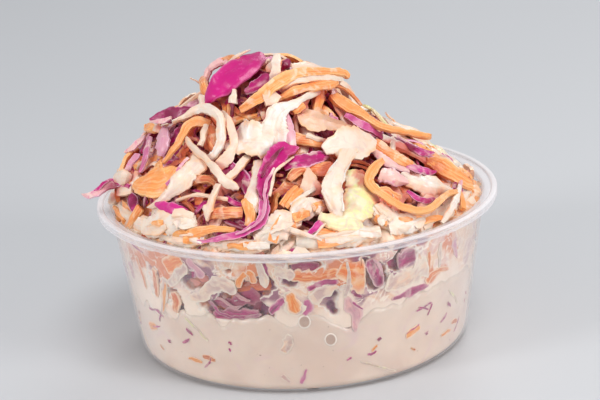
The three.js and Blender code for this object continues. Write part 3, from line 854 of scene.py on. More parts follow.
def shred_mesh(points, ring_u, tone, deep, coated):
    """Joins swept rings into closed strips, with one point in the middle of each end."""
    count, stations, ring, _ = points.shape
    ends = np.stack([points[:, 0].mean(axis=1), points[:, -1].mean(axis=1)], axis=1)
    per = stations * ring + 2
    all_points = np.concatenate([points.reshape(count, -1, 3), ends], axis=1).reshape(-1, 3)
    at = np.arange(stations * ring).reshape(stations, ring)
    beside = np.roll(at, -1, axis=1)
    quads = np.stack([at[:-1], at[1:], beside[1:], beside[:-1]], axis=-1).reshape(-1, 4)
    first = np.stack([at[0], beside[0], np.full(ring, per - 2)], axis=-1)
    final = np.stack([beside[-1], at[-1], np.full(ring, per - 1)], axis=-1)
    shift = (np.arange(count) * per)[:, None, None]
    faces = (quads[None] + shift).reshape(-1, 4).tolist()
    faces += (first[None] + shift).reshape(-1, 3).tolist() + (final[None] + shift).reshape(-1, 3).tolist()
    along = np.linspace(0, 1, stations)

    def on_points(values):
        return np.concatenate([np.repeat(values, ring, axis=1), values[:, [0, -1]]], axis=1).ravel()

    return all_points, faces, {
        "across": np.tile(np.concatenate([np.tile(ring_u, stations), [0, 0]]), count),
        "along": np.tile(np.concatenate([np.repeat(along, ring), [0, 1]]), count),
        "tone": on_points(np.clip(tone, 0, 1)), "chance": np.repeat(tone.mean(axis=1), per),
        "coated": np.repeat(coated, per), "deep": on_points(deep),
    }


def uneven_tone(rng, tone, stations):
    """The tone of each shred, changing a little along it; green and lilac tones hardly change."""
    amount = np.where(tone < 0.7, 0.14, 0.02)[:, None]
    return tone[:, None] + amount * broken_line(rng, tone.shape, 5, stations)


print("a shred's edge keeps", EDGE_FULLNESS, "of its thickness")

# %% [markdown]
# ## How shreds lie on the heap
#
# A shred starts somewhere on the heap's surface and is walked both ways from its middle, turning
# as it goes. Then it is lifted: it arches, it leans so that one end sinks and the other stands out,
# and it lies in one of several layers. Where it would run into the plastic it is pressed flat
# against the inside of the wall, as the real ones are.

# %% Lines over the heap
HIGHEST_LIFT = -0.4
SHRED_STATIONS = 13
GOLDEN_ANGLE = math.pi * (3 - math.sqrt(5))


def rotated(v, axis, angle):
    angle = angle[..., None]
    return (v * np.cos(angle) + np.cross(axis, v) * np.sin(angle)
            + axis * np.sum(axis * v, axis=-1, keepdims=True) * (1 - np.cos(angle)))


def walk(start, heading, reach, turn, steps):
    points, tangent = [start], heading
    for _ in range(steps):
        normal = heap_normal(points[-1])
        tangent = unit(tangent - normal * np.sum(tangent * normal, axis=-1, keepdims=True))
        tangent = rotated(tangent, normal, turn / steps)
        p = points[-1] + tangent * (reach / steps)[:, None]
        points.append(np.where(p[:, 2:] > HEAP_CENTRE[2], onto_heap(p), p))
    return points


def heap_lines(rng, count, length, layer, lean, arch, low, high, curl):
    """Random lines over the heap, spread evenly from the share low to the share high of its height."""
    order = np.arange(count) + rng.uniform(0, 1, count)
    azimuth = order * GOLDEN_ANGLE + rng.normal(0, 0.15, count)
    elevation = np.arcsin(low + (high - low) * np.clip(order / count, 0, 1))
    middle = heap_point(azimuth, elevation)
    normal = heap_normal(middle)
    level = unit(np.cross(np.array([0, 0, 1.0]), normal) + 1e-6)
    heading = rotated(level, normal, rng.uniform(0, 2 * math.pi, count))
    turn = rng.normal(0, curl, count)
    half = SHRED_STATIONS // 2
    ahead = walk(middle, heading, length / 2, turn, half)
    behind = walk(middle, -heading, length / 2, -turn, half)
    line = np.stack(behind[:0:-1] + ahead, axis=1)
    s = np.linspace(-1, 1, SHRED_STATIONS)
    wobble = 0.5 * np.sin(rng.uniform(0, 2 * math.pi, (count, 1)) + s * 4)
    lift = layer[:, None] + lean[:, None] * s + arch[:, None] * (1 - s ** 2) + wobble
    lift = np.where(lift > HIGHEST_LIFT, HIGHEST_LIFT + 0.15 * (lift - HIGHEST_LIFT), lift)
    normals = heap_normal(line)
    return line + normals * lift[..., None], normals


def twisted(facing, lines, start, end):
    tangent = unit(np.gradient(lines, axis=1))
    s = np.linspace(0, 1, lines.shape[1])
    return rotated(facing, tangent, start[:, None] * (1 - s) + end[:, None] * s)


print(SHRED_STATIONS, "stations along each random shred")

# %% Keeping shreds out of the plastic
HEAP_TOP = 88.9
OVER_RIM = 0.2


def press_into_tub(points, reach=INTO_WALL, over_rim=False):
    """Pushes points that would be in the plastic back inside it, or, with over_rim, up onto the rim."""
    p = points.reshape(-1, 3)
    p[:, 2] = np.minimum(p[:, 2], HEAP_TOP)
    radius = np.hypot(p[:, 0], p[:, 1])
    inner = wall_radius(np.minimum(p[:, 2], TUB_HEIGHT), WALL - reach)
    outside = (radius > inner) & (p[:, 2] < TUB_HEIGHT + (OVER_RIM if over_rim else 3))
    onto_rim = outside & (p[:, 2] > TUB_HEIGHT - 1.2) & over_rim
    p[onto_rim, 2] = TUB_HEIGHT + OVER_RIM
    into = outside & ~onto_rim
    p[into, :2] *= (inner / radius)[into, None]
    return p.reshape(points.shape)


def roughen(points, size, depth, seed):
    """Moves points a little by smooth noise, so that no shred is perfectly even."""
    shift = np.stack([waves(points, size, seed + k) for k in range(3)], axis=-1)
    return points + depth * shift


print("no shred rises over", HEAP_TOP, "mm")

# %% [markdown]
# ## Finishes of the vegetables
#
# White cabbage runs from cream to peach, here and there yellow-green, with fine fibres along the
# shred. Red cabbage is magenta on its skin, darker or lilac on some shreds, and its cut edges show
# the pale inside. Carrot is bright orange. The tone picks a colour on a ramp. All three wear an
# uneven film of dressing, which is a soft mask of noise, and deep in the heap shade is painted
# into them, warmer and darker.

# %% What the three finishes share
def near_edge(recipe, start, most=1.0):
    return recipe.spread(recipe.math("ABSOLUTE", recipe.attribute("across")), start, 1.0, 0, most)


def behind_wall(recipe, most=1.0):
    """Rises to most where coated is above 1, on the strips pressed against the plastic."""
    return recipe.spread(recipe.attribute("coated"), 1.0, 1.2, 0, most)


def filmed(recipe, colour, film, size=5.0, over_edges=0.95):
    """A film of dressing. Behind the plastic there is less of it, but it creeps over the edges."""
    amount = recipe.math("SUBTRACT", recipe.attribute("coated"), behind_wall(recipe, 0.85))
    mask = recipe.times(recipe.spread(recipe.noise(size, 3, 0.8), 0.5, 0.68), amount)
    from_middle = recipe.math("ABSOLUTE", recipe.math("SUBTRACT", recipe.attribute("along"), 0.5))
    outer = recipe.math("MAXIMUM", near_edge(recipe, 0.45), recipe.spread(from_middle, 0.4, 0.5))
    both = recipe.math("MAXIMUM", mask, recipe.times(outer, behind_wall(recipe, over_edges)))
    return recipe.blend(recipe.math("MINIMUM", both, 1), colour, film)


# Painted shade: the colour turns warmer and darker where a point lies deep under other shreds.
def with_depth_shade(recipe, colour, shade, most=0.75):
    return recipe.blend(recipe.spread(recipe.attribute("deep"), 0.05, 0.75, 0, most), colour, shade)


# %% The white cabbage's finish
def white_cabbage():
    recipe = Recipe("white cabbage")
    colour = recipe.ramp(recipe.attribute("tone"), (0, srgb(236, 226, 217)), (0.12, srgb(233, 218, 202)),
                         (0.3, srgb(235, 211, 190)), (0.6, srgb(239, 203, 178)), (0.85, srgb(230, 184, 152)),
                         (0.91, srgb(237, 229, 182)), (1, srgb(227, 229, 156)))
    peach = recipe.spread(recipe.noise(6, 3, 1), 0.5, 0.68, 0, 0.6)
    colour = recipe.blend(peach, colour, srgb(248, 200, 162))
    glassy = recipe.spread(recipe.noise(3.5, 2, 1.5), 0.52, 0.66, 0, 0.5)
    colour = recipe.blend(glassy, colour, srgb(228, 194, 184))
    grain = recipe.grain(4.0)
    colour = recipe.blend(recipe.spread(grain, 0.52, 0.7, 0, 0.5), colour, srgb(240, 190, 160))
    patches = recipe.spread(recipe.noise(7, 1), 0.45, 0.6)
    border = recipe.times(near_edge(recipe, 0.6, 0.8), patches)
    colour = recipe.blend(border, colour, srgb(246, 188, 140))
    glassy = recipe.times(behind_wall(recipe, 0.8), recipe.spread(recipe.noise(4, 3, 1), 0.4, 0.6))
    colour = recipe.blend(glassy, colour, srgb(204, 168, 162))
    colour = filmed(recipe, colour, srgb(242, 226, 208))
    # painted shade deep in the heap
    colour = with_depth_shade(recipe, colour, srgb(222, 112, 96), 0.9)
    recipe.bump(recipe.math("ADD", grain, recipe.noise(1.4, 5)), 0.65, 0.28)
    return recipe.finish(colour, 0.36, translucency=0.12, reach=1.2, coat=0.18)


WHITE = white_cabbage()

# %% The red cabbage's finish
def red_cabbage():
    recipe = Recipe("red cabbage")
    tone = recipe.attribute("tone")
    skin = recipe.ramp(tone, (0, srgb(104, 6, 38)), (0.2, srgb(148, 4, 78)), (0.45, srgb(200, 0, 120)),
                       (0.6, srgb(208, 40, 138)), (0.8, srgb(208, 110, 152)), (0.9, srgb(226, 164, 180)),
                       (1, srgb(246, 198, 184)))
    spots = recipe.spread(recipe.noise(1.3, 3), 0.58, 0.68, 0, 0.4)
    skin = recipe.blend(spots, skin, srgb(228, 84, 160))
    grain = recipe.grain(5.0)
    veins = recipe.times(recipe.spread(grain, 0.5, 0.62), recipe.attribute("coated"))
    veins = recipe.times(veins, recipe.spread(tone, 0.6, 0.85, 1, 0.15))
    skin = recipe.blend(recipe.math("MINIMUM", veins, 1), skin, srgb(122, 2, 70))
    edge = near_edge(recipe, 0.78, 0.8)
    edge = recipe.times(edge, recipe.spread(recipe.attribute("coated"), 0, 0.3, 0.2, 1))
    colour = recipe.blend(edge, skin, srgb(238, 190, 212))
    milky = recipe.spread(recipe.noise(3, 3, 1), 0.35, 0.65, 0.05, 0.42)
    milky = recipe.times(behind_wall(recipe), milky)
    colour = recipe.blend(milky, colour, srgb(180, 146, 162))
    colour = filmed(recipe, colour, srgb(249, 222, 208), 4.0, 0.6)
    # painted shade deep in the heap
    colour = with_depth_shade(recipe, colour, srgb(152, 12, 66), 0.85)
    recipe.bump(recipe.math("ADD", grain, recipe.noise(1.2, 3)), 0.5, 0.2)
    return recipe.finish(colour, 0.36, translucency=0.08, reach=1.0, coat=0.15)


RED = red_cabbage()

# %% The carrot's finish
def carrot():
    recipe = Recipe("carrot")
    colour = recipe.ramp(recipe.attribute("tone"), (0, srgb(250, 168, 92)), (0.3, srgb(248, 152, 78)),
                         (0.6, srgb(238, 128, 68)), (0.9, srgb(214, 108, 72)), (1, srgb(188, 92, 60)))
    grain = recipe.grain(6.0)
    colour = recipe.blend(recipe.spread(grain, 0.46, 0.62, 0, 0.75), colour, srgb(252, 188, 128))
    colour = recipe.blend(recipe.spread(grain, 0.44, 0.34, 0, 0.5), colour, srgb(236, 118, 52))
    colour = recipe.blend(near_edge(recipe, 0.7, 0.5), colour, srgb(255, 204, 142))
    colour = filmed(recipe, colour, srgb(253, 220, 192), 3.5)
    # painted shade deep in the heap
    colour = with_depth_shade(recipe, colour, srgb(210, 86, 54), 0.85)
    recipe.bump(recipe.math("ADD", grain, recipe.noise(0.9, 3)), 0.8, 0.3)
    return recipe.finish(colour, 0.4, translucency=0.12, reach=1.2, coat=0.12)


CARROT = carrot()

# %% [markdown]
# ## The pieces one notices first
#
# Each drawn piece is a strip along a smooth line. A point of the line says where it is on the sheet,
# how wide the strip is there and how high it floats over the heap. The strip turns its face partly
# outward and partly towards the sheet. A thick, bulging strip makes a lump of cabbage in dressing, a
# thin one a leaf. A tone near 0.95 makes white cabbage green and red cabbage nearly white.

# %% The petal, the leaves and the sticks on the heap's top
TOP_PIECES = [
    # name, kind, tone, thickness, bulge, [(x, y, width, height over the heap), ...]
    ("petal", RED, 0.47, 0.9, 0.8, [(-27.2, 28.4, 1.6, 2), (-26.4, 30.4, 5, 3.2), (-24.2, 32.9, 7, 4),
        (-21.9, 35.1, 8, 4.4), (-19.1, 37.4, 8.8, 4.2), (-16.5, 39.4, 8.8, 3.8), (-14.3, 41.1, 8, 3.3),
        (-12.9, 42.1, 6.4, 2.9), (-12, 42.8, 3, 2.6)]),
    ("petal's lining", WHITE, 0.1, 0.5, 0.1, [(-21.5, 40.2, 0.4, 4.6), (-18, 42.7, 1, 5),
        (-14.6, 44.2, 0.5, 5)]),
    ("cut under the petal", RED, 0.3, 0.8, 0.3, [(-16, 31.9, 2, 2), (-13.7, 33, 3.6, 2.6),
        (-11.3, 35, 3.8, 2.8), (-9.7, 37, 2.2, 3)]),
    ("rod", WHITE, 0.15, 2.2, 0.2, [(-8.2, 34.6, 3.2, 1), (-7.2, 38, 2.8, 3.5), (-6.9, 41, 2.7, 5.5),
        (-6.8, 42.6, 1.4, 6.4)]),
    ("dark curl", RED, 0.1, 0.7, 0.8, [(-5.3, 38.3, 0.8, 1.6), (-4.1, 39.6, 2.8, 3.2),
        (-3.2, 40.8, 2, 3.8)]),
    ("leaf behind the sticks", WHITE, 0.4, 0.8, 0.8, [(-2.6, 39.1, 3, 1), (1.3, 39.1, 3, 2.2),
        (5.3, 38.6, 2.4, 3), (8.7, 37.4, 1.6, 2.8)]),
    ("top stick", CARROT, 0.2, 1.3, 0.2, [(-17.2, 26.3, 1.8, 0.4), (-14, 28.6, 2.8, 2), (-11, 30.8, 3.2, 3),
        (-8.5, 33, 3.6, 3.5), (-5, 35.2, 3.6, 4), (-1.5, 36.9, 3.2, 4.5), (2.6, 37.4, 2.6, 4.8),
        (8, 37.5, 2, 5.5), (12, 37.1, 2.4, 6.2), (14.4, 36.1, 1.4, 6.8)]),
    ("pale stick", WHITE, 0.3, 1.2, 0.2, [(-5.4, 33.2, 1.8, 2.5), (-0.4, 35, 2.2, 3.7),
        (5.6, 35.7, 1.8, 4.3), (12.2, 35.5, 1.3, 5.4)]),
    ("lower stick", CARROT, 0.35, 1.2, 0.2, [(-6.6, 29.5, 1.2, 1.3), (-2.5, 31.6, 2.4, 2.5),
        (0.9, 32.7, 2.2, 3), (4.6, 33.4, 2.7, 3.4), (8.5, 33.8, 2.6, 4.1), (10.6, 34.6, 1.8, 4.5)]),
    ("twig", CARROT, 0.6, 1.0, 0, [(9.7, 33.9, 0.9, 3), (12.6, 33, 1, 4), (15.3, 31.1, 0.9, 4.4),
        (17.9, 27.8, 0.7, 4)]),
    ("flap on the twig", WHITE, 0.55, 0.7, 0.3, [(11.6, 34.5, 1.7, 4.5), (13.4, 33.3, 2, 4.6),
        (15.6, 31.4, 1.4, 4.2)]),
    ("long stick on the right", CARROT, 0.15, 1.6, 0.3, [(9.8, 30.3, 3.4, 1.2), (12.5, 28.6, 3.6, 2.6),
        (15.7, 26.7, 3, 3.6), (18.8, 24.5, 2.7, 4.2), (22.6, 22.3, 2.3, 5), (26.3, 20.9, 1.9, 5.8),
        (30, 19.8, 1.6, 6.8), (33.9, 19.2, 1.8, 8), (37.4, 18.7, 1.9, 9.4), (38.6, 18.5, 0.8, 10)]),
    ("purple bar", RED, 0.66, 0.9, 0.2, [(13.4, 25.1, 1.7, 1.3), (16.6, 23.1, 2.2, 2.4), (20.1, 21, 2, 2.9),
        (24.2, 18.5, 1.8, 2.2)]),
    ("green sliver", WHITE, 0.95, 0.7, 0.2, [(18.8, 27.6, 1.3, 1.3), (21.3, 26.6, 1.7, 2.8),
        (23.2, 24.7, 1.6, 2.8), (25.7, 21.7, 1.4, 1.6)]),
    ("thin sliver", WHITE, 0.2, 0.6, 0, [(25.3, 25.8, 0.6, 3.5), (26.1, 24.4, 0.8, 3),
        (27.3, 23.2, 0.6, 2.5), (28.9, 21.4, 0.6, 1.5)]),
    ("folded leaf", WHITE, 0.02, 0.6, 0.5, [(5.9, 31.6, 1.6, 0.6), (2.3, 30.5, 1.9, 3),
        (-1.2, 28.6, 2.2, 3.6), (-4, 27.3, 3.6, 3.8), (-6.2, 25.5, 5.6, 3.6), (-7.6, 22.6, 6.4, 3),
        (-7.6, 18.8, 6.6, 2.2), (-7.2, 15.3, 4.4, 1)]),
    ("lilac ruffle", RED, 0.92, 0.6, 0.3, [(-4.6, 26.4, 1.4, 2), (-3.7, 23.3, 2.3, 2.4),
        (-3.1, 19.8, 3.2, 2.4), (-2.7, 16.4, 3.3, 2.1), (-2.8, 13.7, 2.2, 1.4)]),
    ("knob", CARROT, 0.35, 2.0, 0.3, [(-28.3, 35.1, 2, 2.4), (-28, 32.5, 2.4, 2.2), (-26.5, 29.5, 2, -0.5)]),
    ("pink curl", RED, 0.97, 1.0, 0.6, [(-27.2, 32, 2, -0.5), (-27.8, 35, 2.2, 1.6), (-26.9, 38, 2.6, 2.8),
        (-24.8, 39.9, 2.8, 3.3), (-22, 40.6, 2.2, 3), (-19.5, 38, 2, 1.5)]),
    ("tip behind the petal", CARROT, 0.5, 1.1, 0.2, [(-23, 41, 1, 3.4), (-20.9, 42, 1.4, 4),
        (-18.6, 41.6, 1.4, 4), (-15.5, 39, 1.4, 2)]),
    ("hair", WHITE, 0.2, 0.5, 0, [(-32.2, 35.8, 0.4, 4.5), (-30.7, 35.1, 0.4, 3.6),
        (-29.4, 34.4, 0.5, 2.6)]),
    ("leaf under the petal", WHITE, 0.3, 0.9, 0.4, [(-28.8, 25.6, 2.6, 1), (-28.2, 27.8, 3.4, 2),
        (-28.2, 30.3, 3.2, 2.4)]),
    ("thumb", WHITE, 0.3, 1.6, 0.2, [(-19.7, 28.3, 2.2, 1.8), (-19.4, 30.8, 1.8, 3),
        (-19.2, 32.3, 0.9, 3.4)]),
    ("tie", WHITE, 0.45, 1.4, 0.3, [(-10.6, 29.1, 3.4, 2.2), (-8.4, 30.1, 3.8, 2.6), (-7, 30.8, 2.9, 2)]),
]
print(len(TOP_PIECES), "pieces on the top")

# %% The pieces on the left
LEFT_PIECES = [
    ("square leaf", WHITE, 0.05, 0.7, 0.2, [(-19.7, 18.8, 8.5, 1), (-17.9, 18.2, 10.8, 2.7),
        (-15.3, 17.6, 10.9, 3.4), (-12.6, 17.3, 10.2, 3.6), (-10.1, 16.9, 8.6, 3.3),
        (-8.2, 16.3, 4.4, 2.8)]),
    ("outer bow", WHITE, 0.1, 1.1, 0.3, [(-37.3, 22.9, 0.9, 5), (-35.2, 24, 1.5, 4.2), (-32.5, 25.5, 2.2, 4),
        (-28.9, 27, 2.5, 4), (-25.6, 26.1, 2.7, 4), (-23.5, 23.8, 2.6, 4), (-23.1, 20.4, 2.4, 3.8),
        (-23.4, 16.3, 2.6, 3.4), (-25.1, 13.2, 2.8, 2.8), (-27.3, 11.2, 2.6, 1.4)]),
    ("inner bow", WHITE, 0.35, 1.0, 0.3, [(-23.1, 25.4, 2, 2), (-20.9, 23.6, 2.2, 2.8), (-19.7, 20, 2.3, 3),
        (-19.4, 15.7, 2.4, 3), (-21.1, 12.6, 2.8, 2.8), (-23.8, 10.1, 2.8, 2.2), (-26.1, 8.8, 2, 1)]),
    ("upright", WHITE, 0.3, 0.9, 0.2, [(-27.6, 21.9, 1.7, 1.8), (-28.5, 18.5, 1.6, 2.4),
        (-29.1, 15.7, 1.5, 1.8)]),
    ("bent stick", CARROT, 0.25, 1.2, 0.2, [(-26.3, 22.6, 1.8, 1), (-29.8, 23, 2.6, 2.3),
        (-32.8, 22, 2.8, 3.2), (-34.7, 19.1, 2.4, 3.6), (-36.6, 15.7, 1.9, 3.6), (-38.5, 12.9, 1.5, 3.4),
        (-39.9, 10.4, 0.9, 3)]),
    ("orange behind", CARROT, 0.8, 1.0, 0.1, [(-28, 23, 3, -0.5), (-27.2, 20.4, 5.6, 0.2),
        (-26.2, 17.2, 5, 0.2), (-25, 14.6, 2.4, -0.5)]),
    ("forked stick", WHITE, 0.3, 1.4, 0.2, [(-32.9, 17.5, 1.4, 1.8), (-30.3, 14.5, 2.1, 3.4),
        (-27.8, 12.3, 2.1, 4), (-25.4, 9.8, 2.2, 4.2), (-23.2, 6.9, 2.5, 4), (-21.3, 5, 3.1, 3.6),
        (-19.4, 4, 2.6, 3), (-17.9, 3.1, 0.8, 2.2)]),
    ("fork's foot", WHITE, 0.35, 1.2, 0.2, [(-23.8, 4.6, 1.9, 3.6), (-25.6, 1.5, 1.9, 3.4),
        (-26.4, -1.5, 1.9, 3), (-27, -2.4, 3, 2.6), (-27.2, -4.2, 1.6, 2), (-27.2, -6.2, 0.4, 1.4)]),
    ("fork's arm", WHITE, 0.4, 1.2, 0.2, [(-20.9, 5.9, 1.8, 3.4), (-18.8, 8.8, 2, 2.8), (-16.4, 11.5, 2, 2),
        (-15.1, 13.2, 1.6, 1)]),
    ("slanting leaf", WHITE, 0.3, 0.7, 0.3, [(-29.7, 13.4, 3, 1.4), (-30.5, 10.9, 5.2, 3),
        (-32.3, 8.8, 5.8, 3.5), (-34.5, 6.2, 5.3, 3.5), (-37, 3.7, 4.3, 3.3), (-39.9, 0.7, 2.9, 2.9),
        (-43.2, -1.6, 1.5, 2), (-44.5, -2.2, 0.5, 1.6)]),
    ("its lilac edge", RED, 0.8, 0.5, 0.1, [(-32.9, 12.3, 0.8, 3.4), (-34.9, 9.8, 0.9, 3.9),
        (-36.9, 7, 0.9, 3.9), (-39.1, 4.3, 0.8, 3.6)]),
    ("broad slice", CARROT, 0.12, 1.2, 0.6, [(-47.9, 4.7, 3, 1), (-45.8, 4.7, 7, 2.2),
        (-43.5, 5.3, 9.6, 2.7), (-40.8, 5.6, 10.2, 2.9), (-38.2, 7, 8, 3), (-36.4, 9.4, 3, 2.8)]),
    ("magenta tip", RED, 0.5, 0.9, 0.5, [(-42.3, -0.9, 1.2, 1.4), (-40.4, -1.6, 3, 2.7),
        (-37.9, -2.5, 3.4, 2.8), (-35.1, -2.9, 2.2, 2.2), (-33, -2.9, 0.6, 1.2)]),
    ("overhanging leaf", RED, 0.95, 0.7, 0.3, [(-63.5, 1.5, 0.5, 10.2), (-61.8, 1.2, 1.9, 9.2),
        (-59.2, 1.9, 2.3, 7.5), (-56.8, 3.7, 2.4, 5.5), (-54.3, 4.7, 2.2, 3.4), (-51.5, 4.7, 1.3, 1.4)]),
    ("its skin", RED, 0.5, 0.5, 0.1, [(-60.5, 2.8, 0.4, 8.8), (-59.2, 3.4, 0.9, 7.9), (-57, 5.1, 1, 6),
        (-54.8, 5.6, 1.1, 4), (-50.2, 3.8, 2, 1.6)]),
    ("lilac disc", RED, 0.9, 0.8, 0.6, [(-41.3, 13.1, 2.6, 1.3), (-40.7, 15.7, 4.8, 2.5),
        (-40.4, 18.2, 5.2, 2.8), (-40.1, 20.3, 3.5, 2.5), (-39.9, 21.3, 1.2, 2)]),
    ("pink strip", RED, 0.97, 0.8, 0.3, [(-51.1, 14, 0.8, 3.5), (-48.8, 15.7, 1.6, 3.1),
        (-46.7, 17.3, 2, 2.5), (-45.1, 19.4, 1.9, 1.3)]),
    ("purple strip", RED, 0.78, 0.8, 0.3, [(-43.9, 18.2, 1.5, 1.9), (-44.8, 15, 1.8, 2.5),
        (-45.7, 11.7, 2, 2.3), (-47, 8.2, 2, 1.3)]),
    ("lilac strip", RED, 0.85, 0.8, 0.3, [(-50.5, 8.5, 1.6, 2.8), (-49.3, 11.2, 1.8, 3),
        (-47.7, 13.4, 2, 2.6)]),
    ("orange corner", CARROT, 0.2, 1.4, 0.2, [(-45.7, 21.1, 1.8, 2.6), (-44.1, 21.1, 2.8, 2.7),
        (-42.3, 20.6, 1.8, 1.9)]),
    ("cream corner", WHITE, 0.3, 1.0, 0.4, [(-43.5, 21.4, 2.3, 1.9), (-42, 21.1, 2.3, 2.1),
        (-40.7, 20.4, 1.5, 1.3)]),
    ("cream lump", WHITE, 0.3, 1.8, 0.5, [(-53.5, 6.8, 3.8, 3.6), (-51.5, 6.5, 3.9, 3.2),
        (-50.1, 6.3, 2, 2)]),
    ("dark wing", RED, 0.2, 0.9, 0.5, [(-43.8, 23.6, 1.2, 5.4), (-40.9, 24.6, 3.6, 4.6),
        (-37.4, 25.5, 3.8, 3.8), (-33.9, 26.3, 2.8, 2.8), (-31.6, 26.8, 1, 2)]),
    ("wing's pale underside", RED, 0.97, 0.6, 0.1, [(-43.8, 22.9, 0.6, 5.4), (-40.9, 23.2, 1.2, 4.9),
        (-37.6, 24, 1, 4.1)]),
    ("salmon bar", CARROT, 0.85, 1.6, 0.2, [(-25.6, -3.8, 3, 0.9), (-22.9, -3.7, 3.2, 1.8),
        (-20, -3.7, 3.2, 2), (-16.9, -3.8, 2.8, 1.1)]),
    ("salmon bar above", CARROT, 0.85, 1.3, 0.2, [(-31.9, 5, 1.8, 0.5), (-29.2, 6, 2.1, 1.1),
        (-26.6, 6, 2, 0.9), (-24.5, 5, 1.6, 0.3)]),
    ("thin bridge", WHITE, 0.6, 0.9, 0.2, [(-36.1, -0.3, 1, 1.1), (-31.3, 1.2, 1, 2.1), (-26.4, 1, 1.1, 2.3),
        (-21.1, 0.3, 1.1, 1.7)]),
    ("orange in the lump", CARROT, 0.2, 1.0, 0.3, [(-42.9, -7, 1.2, 2.8), (-41.4, -6.8, 1.9, 3.2),
        (-40.2, -6.6, 1.4, 3)]),
    ("peach arc", CARROT, 0.25, 1.3, 0.2, [(-35, -11.2, 2, 0.8), (-31.4, -9.8, 2.6, 1.7),
        (-27.2, -8.8, 2.2, 2), (-22.9, -8.5, 1.7, 1.8), (-19.1, -9.1, 1.3, 1.1)]),
    ("dark at the rim", RED, 0.2, 0.8, 0.3, [(-49.5, 1, 2.6, 0.7), (-48.8, -1.5, 3, 1.2),
        (-47.7, -3.5, 2.1, 0.8)]),
    ("cream at the rim", WHITE, 0.3, 0.8, 0.4, [(-54.3, 3.5, 2.8, 1.2), (-52, 2.6, 2.9, 1.3),
        (-49.6, 3.2, 2.2, 0.9)]),
    ("orange at the rim", CARROT, 0.3, 1.0, 0.2, [(-54, -2.2, 1.1, 0.3), (-53, -4.4, 1.6, 0.5),
        (-51.4, -6.6, 1.3, 0.3)]),
    ("low orange", CARROT, 0.35, 1.0, 0.3, [(-46.7, -2.2, 2.4, 1), (-48.8, -5.1, 2.4, 1.2),
        (-50.1, -7.6, 2.1, 0.6)]),
    ("violet in the gap", RED, 0.35, 0.8, 0.4, [(-22.9, 13.2, 2.4, 0), (-21.1, 9.8, 4.4, 0.7),
        (-18.6, 6.8, 6.4, 0.8), (-16.7, 3.8, 5, 0.3)]),
    ("violet beside it", RED, 0.3, 0.8, 0.4, [(-15.1, 7.9, 2.2, 0.4), (-15.1, 4.6, 3.2, 0.9),
        (-14.4, 1.2, 2.9, 0.4)]),
    ("magenta in the gap", RED, 0.45, 0.8, 0.3, [(-21.6, 0.4, 1.3, 0.5), (-18.9, -1, 1.5, 0.7),
        (-16.7, -1.8, 1.1, 0.1)]),
]
print(len(LEFT_PIECES), "pieces on the left")

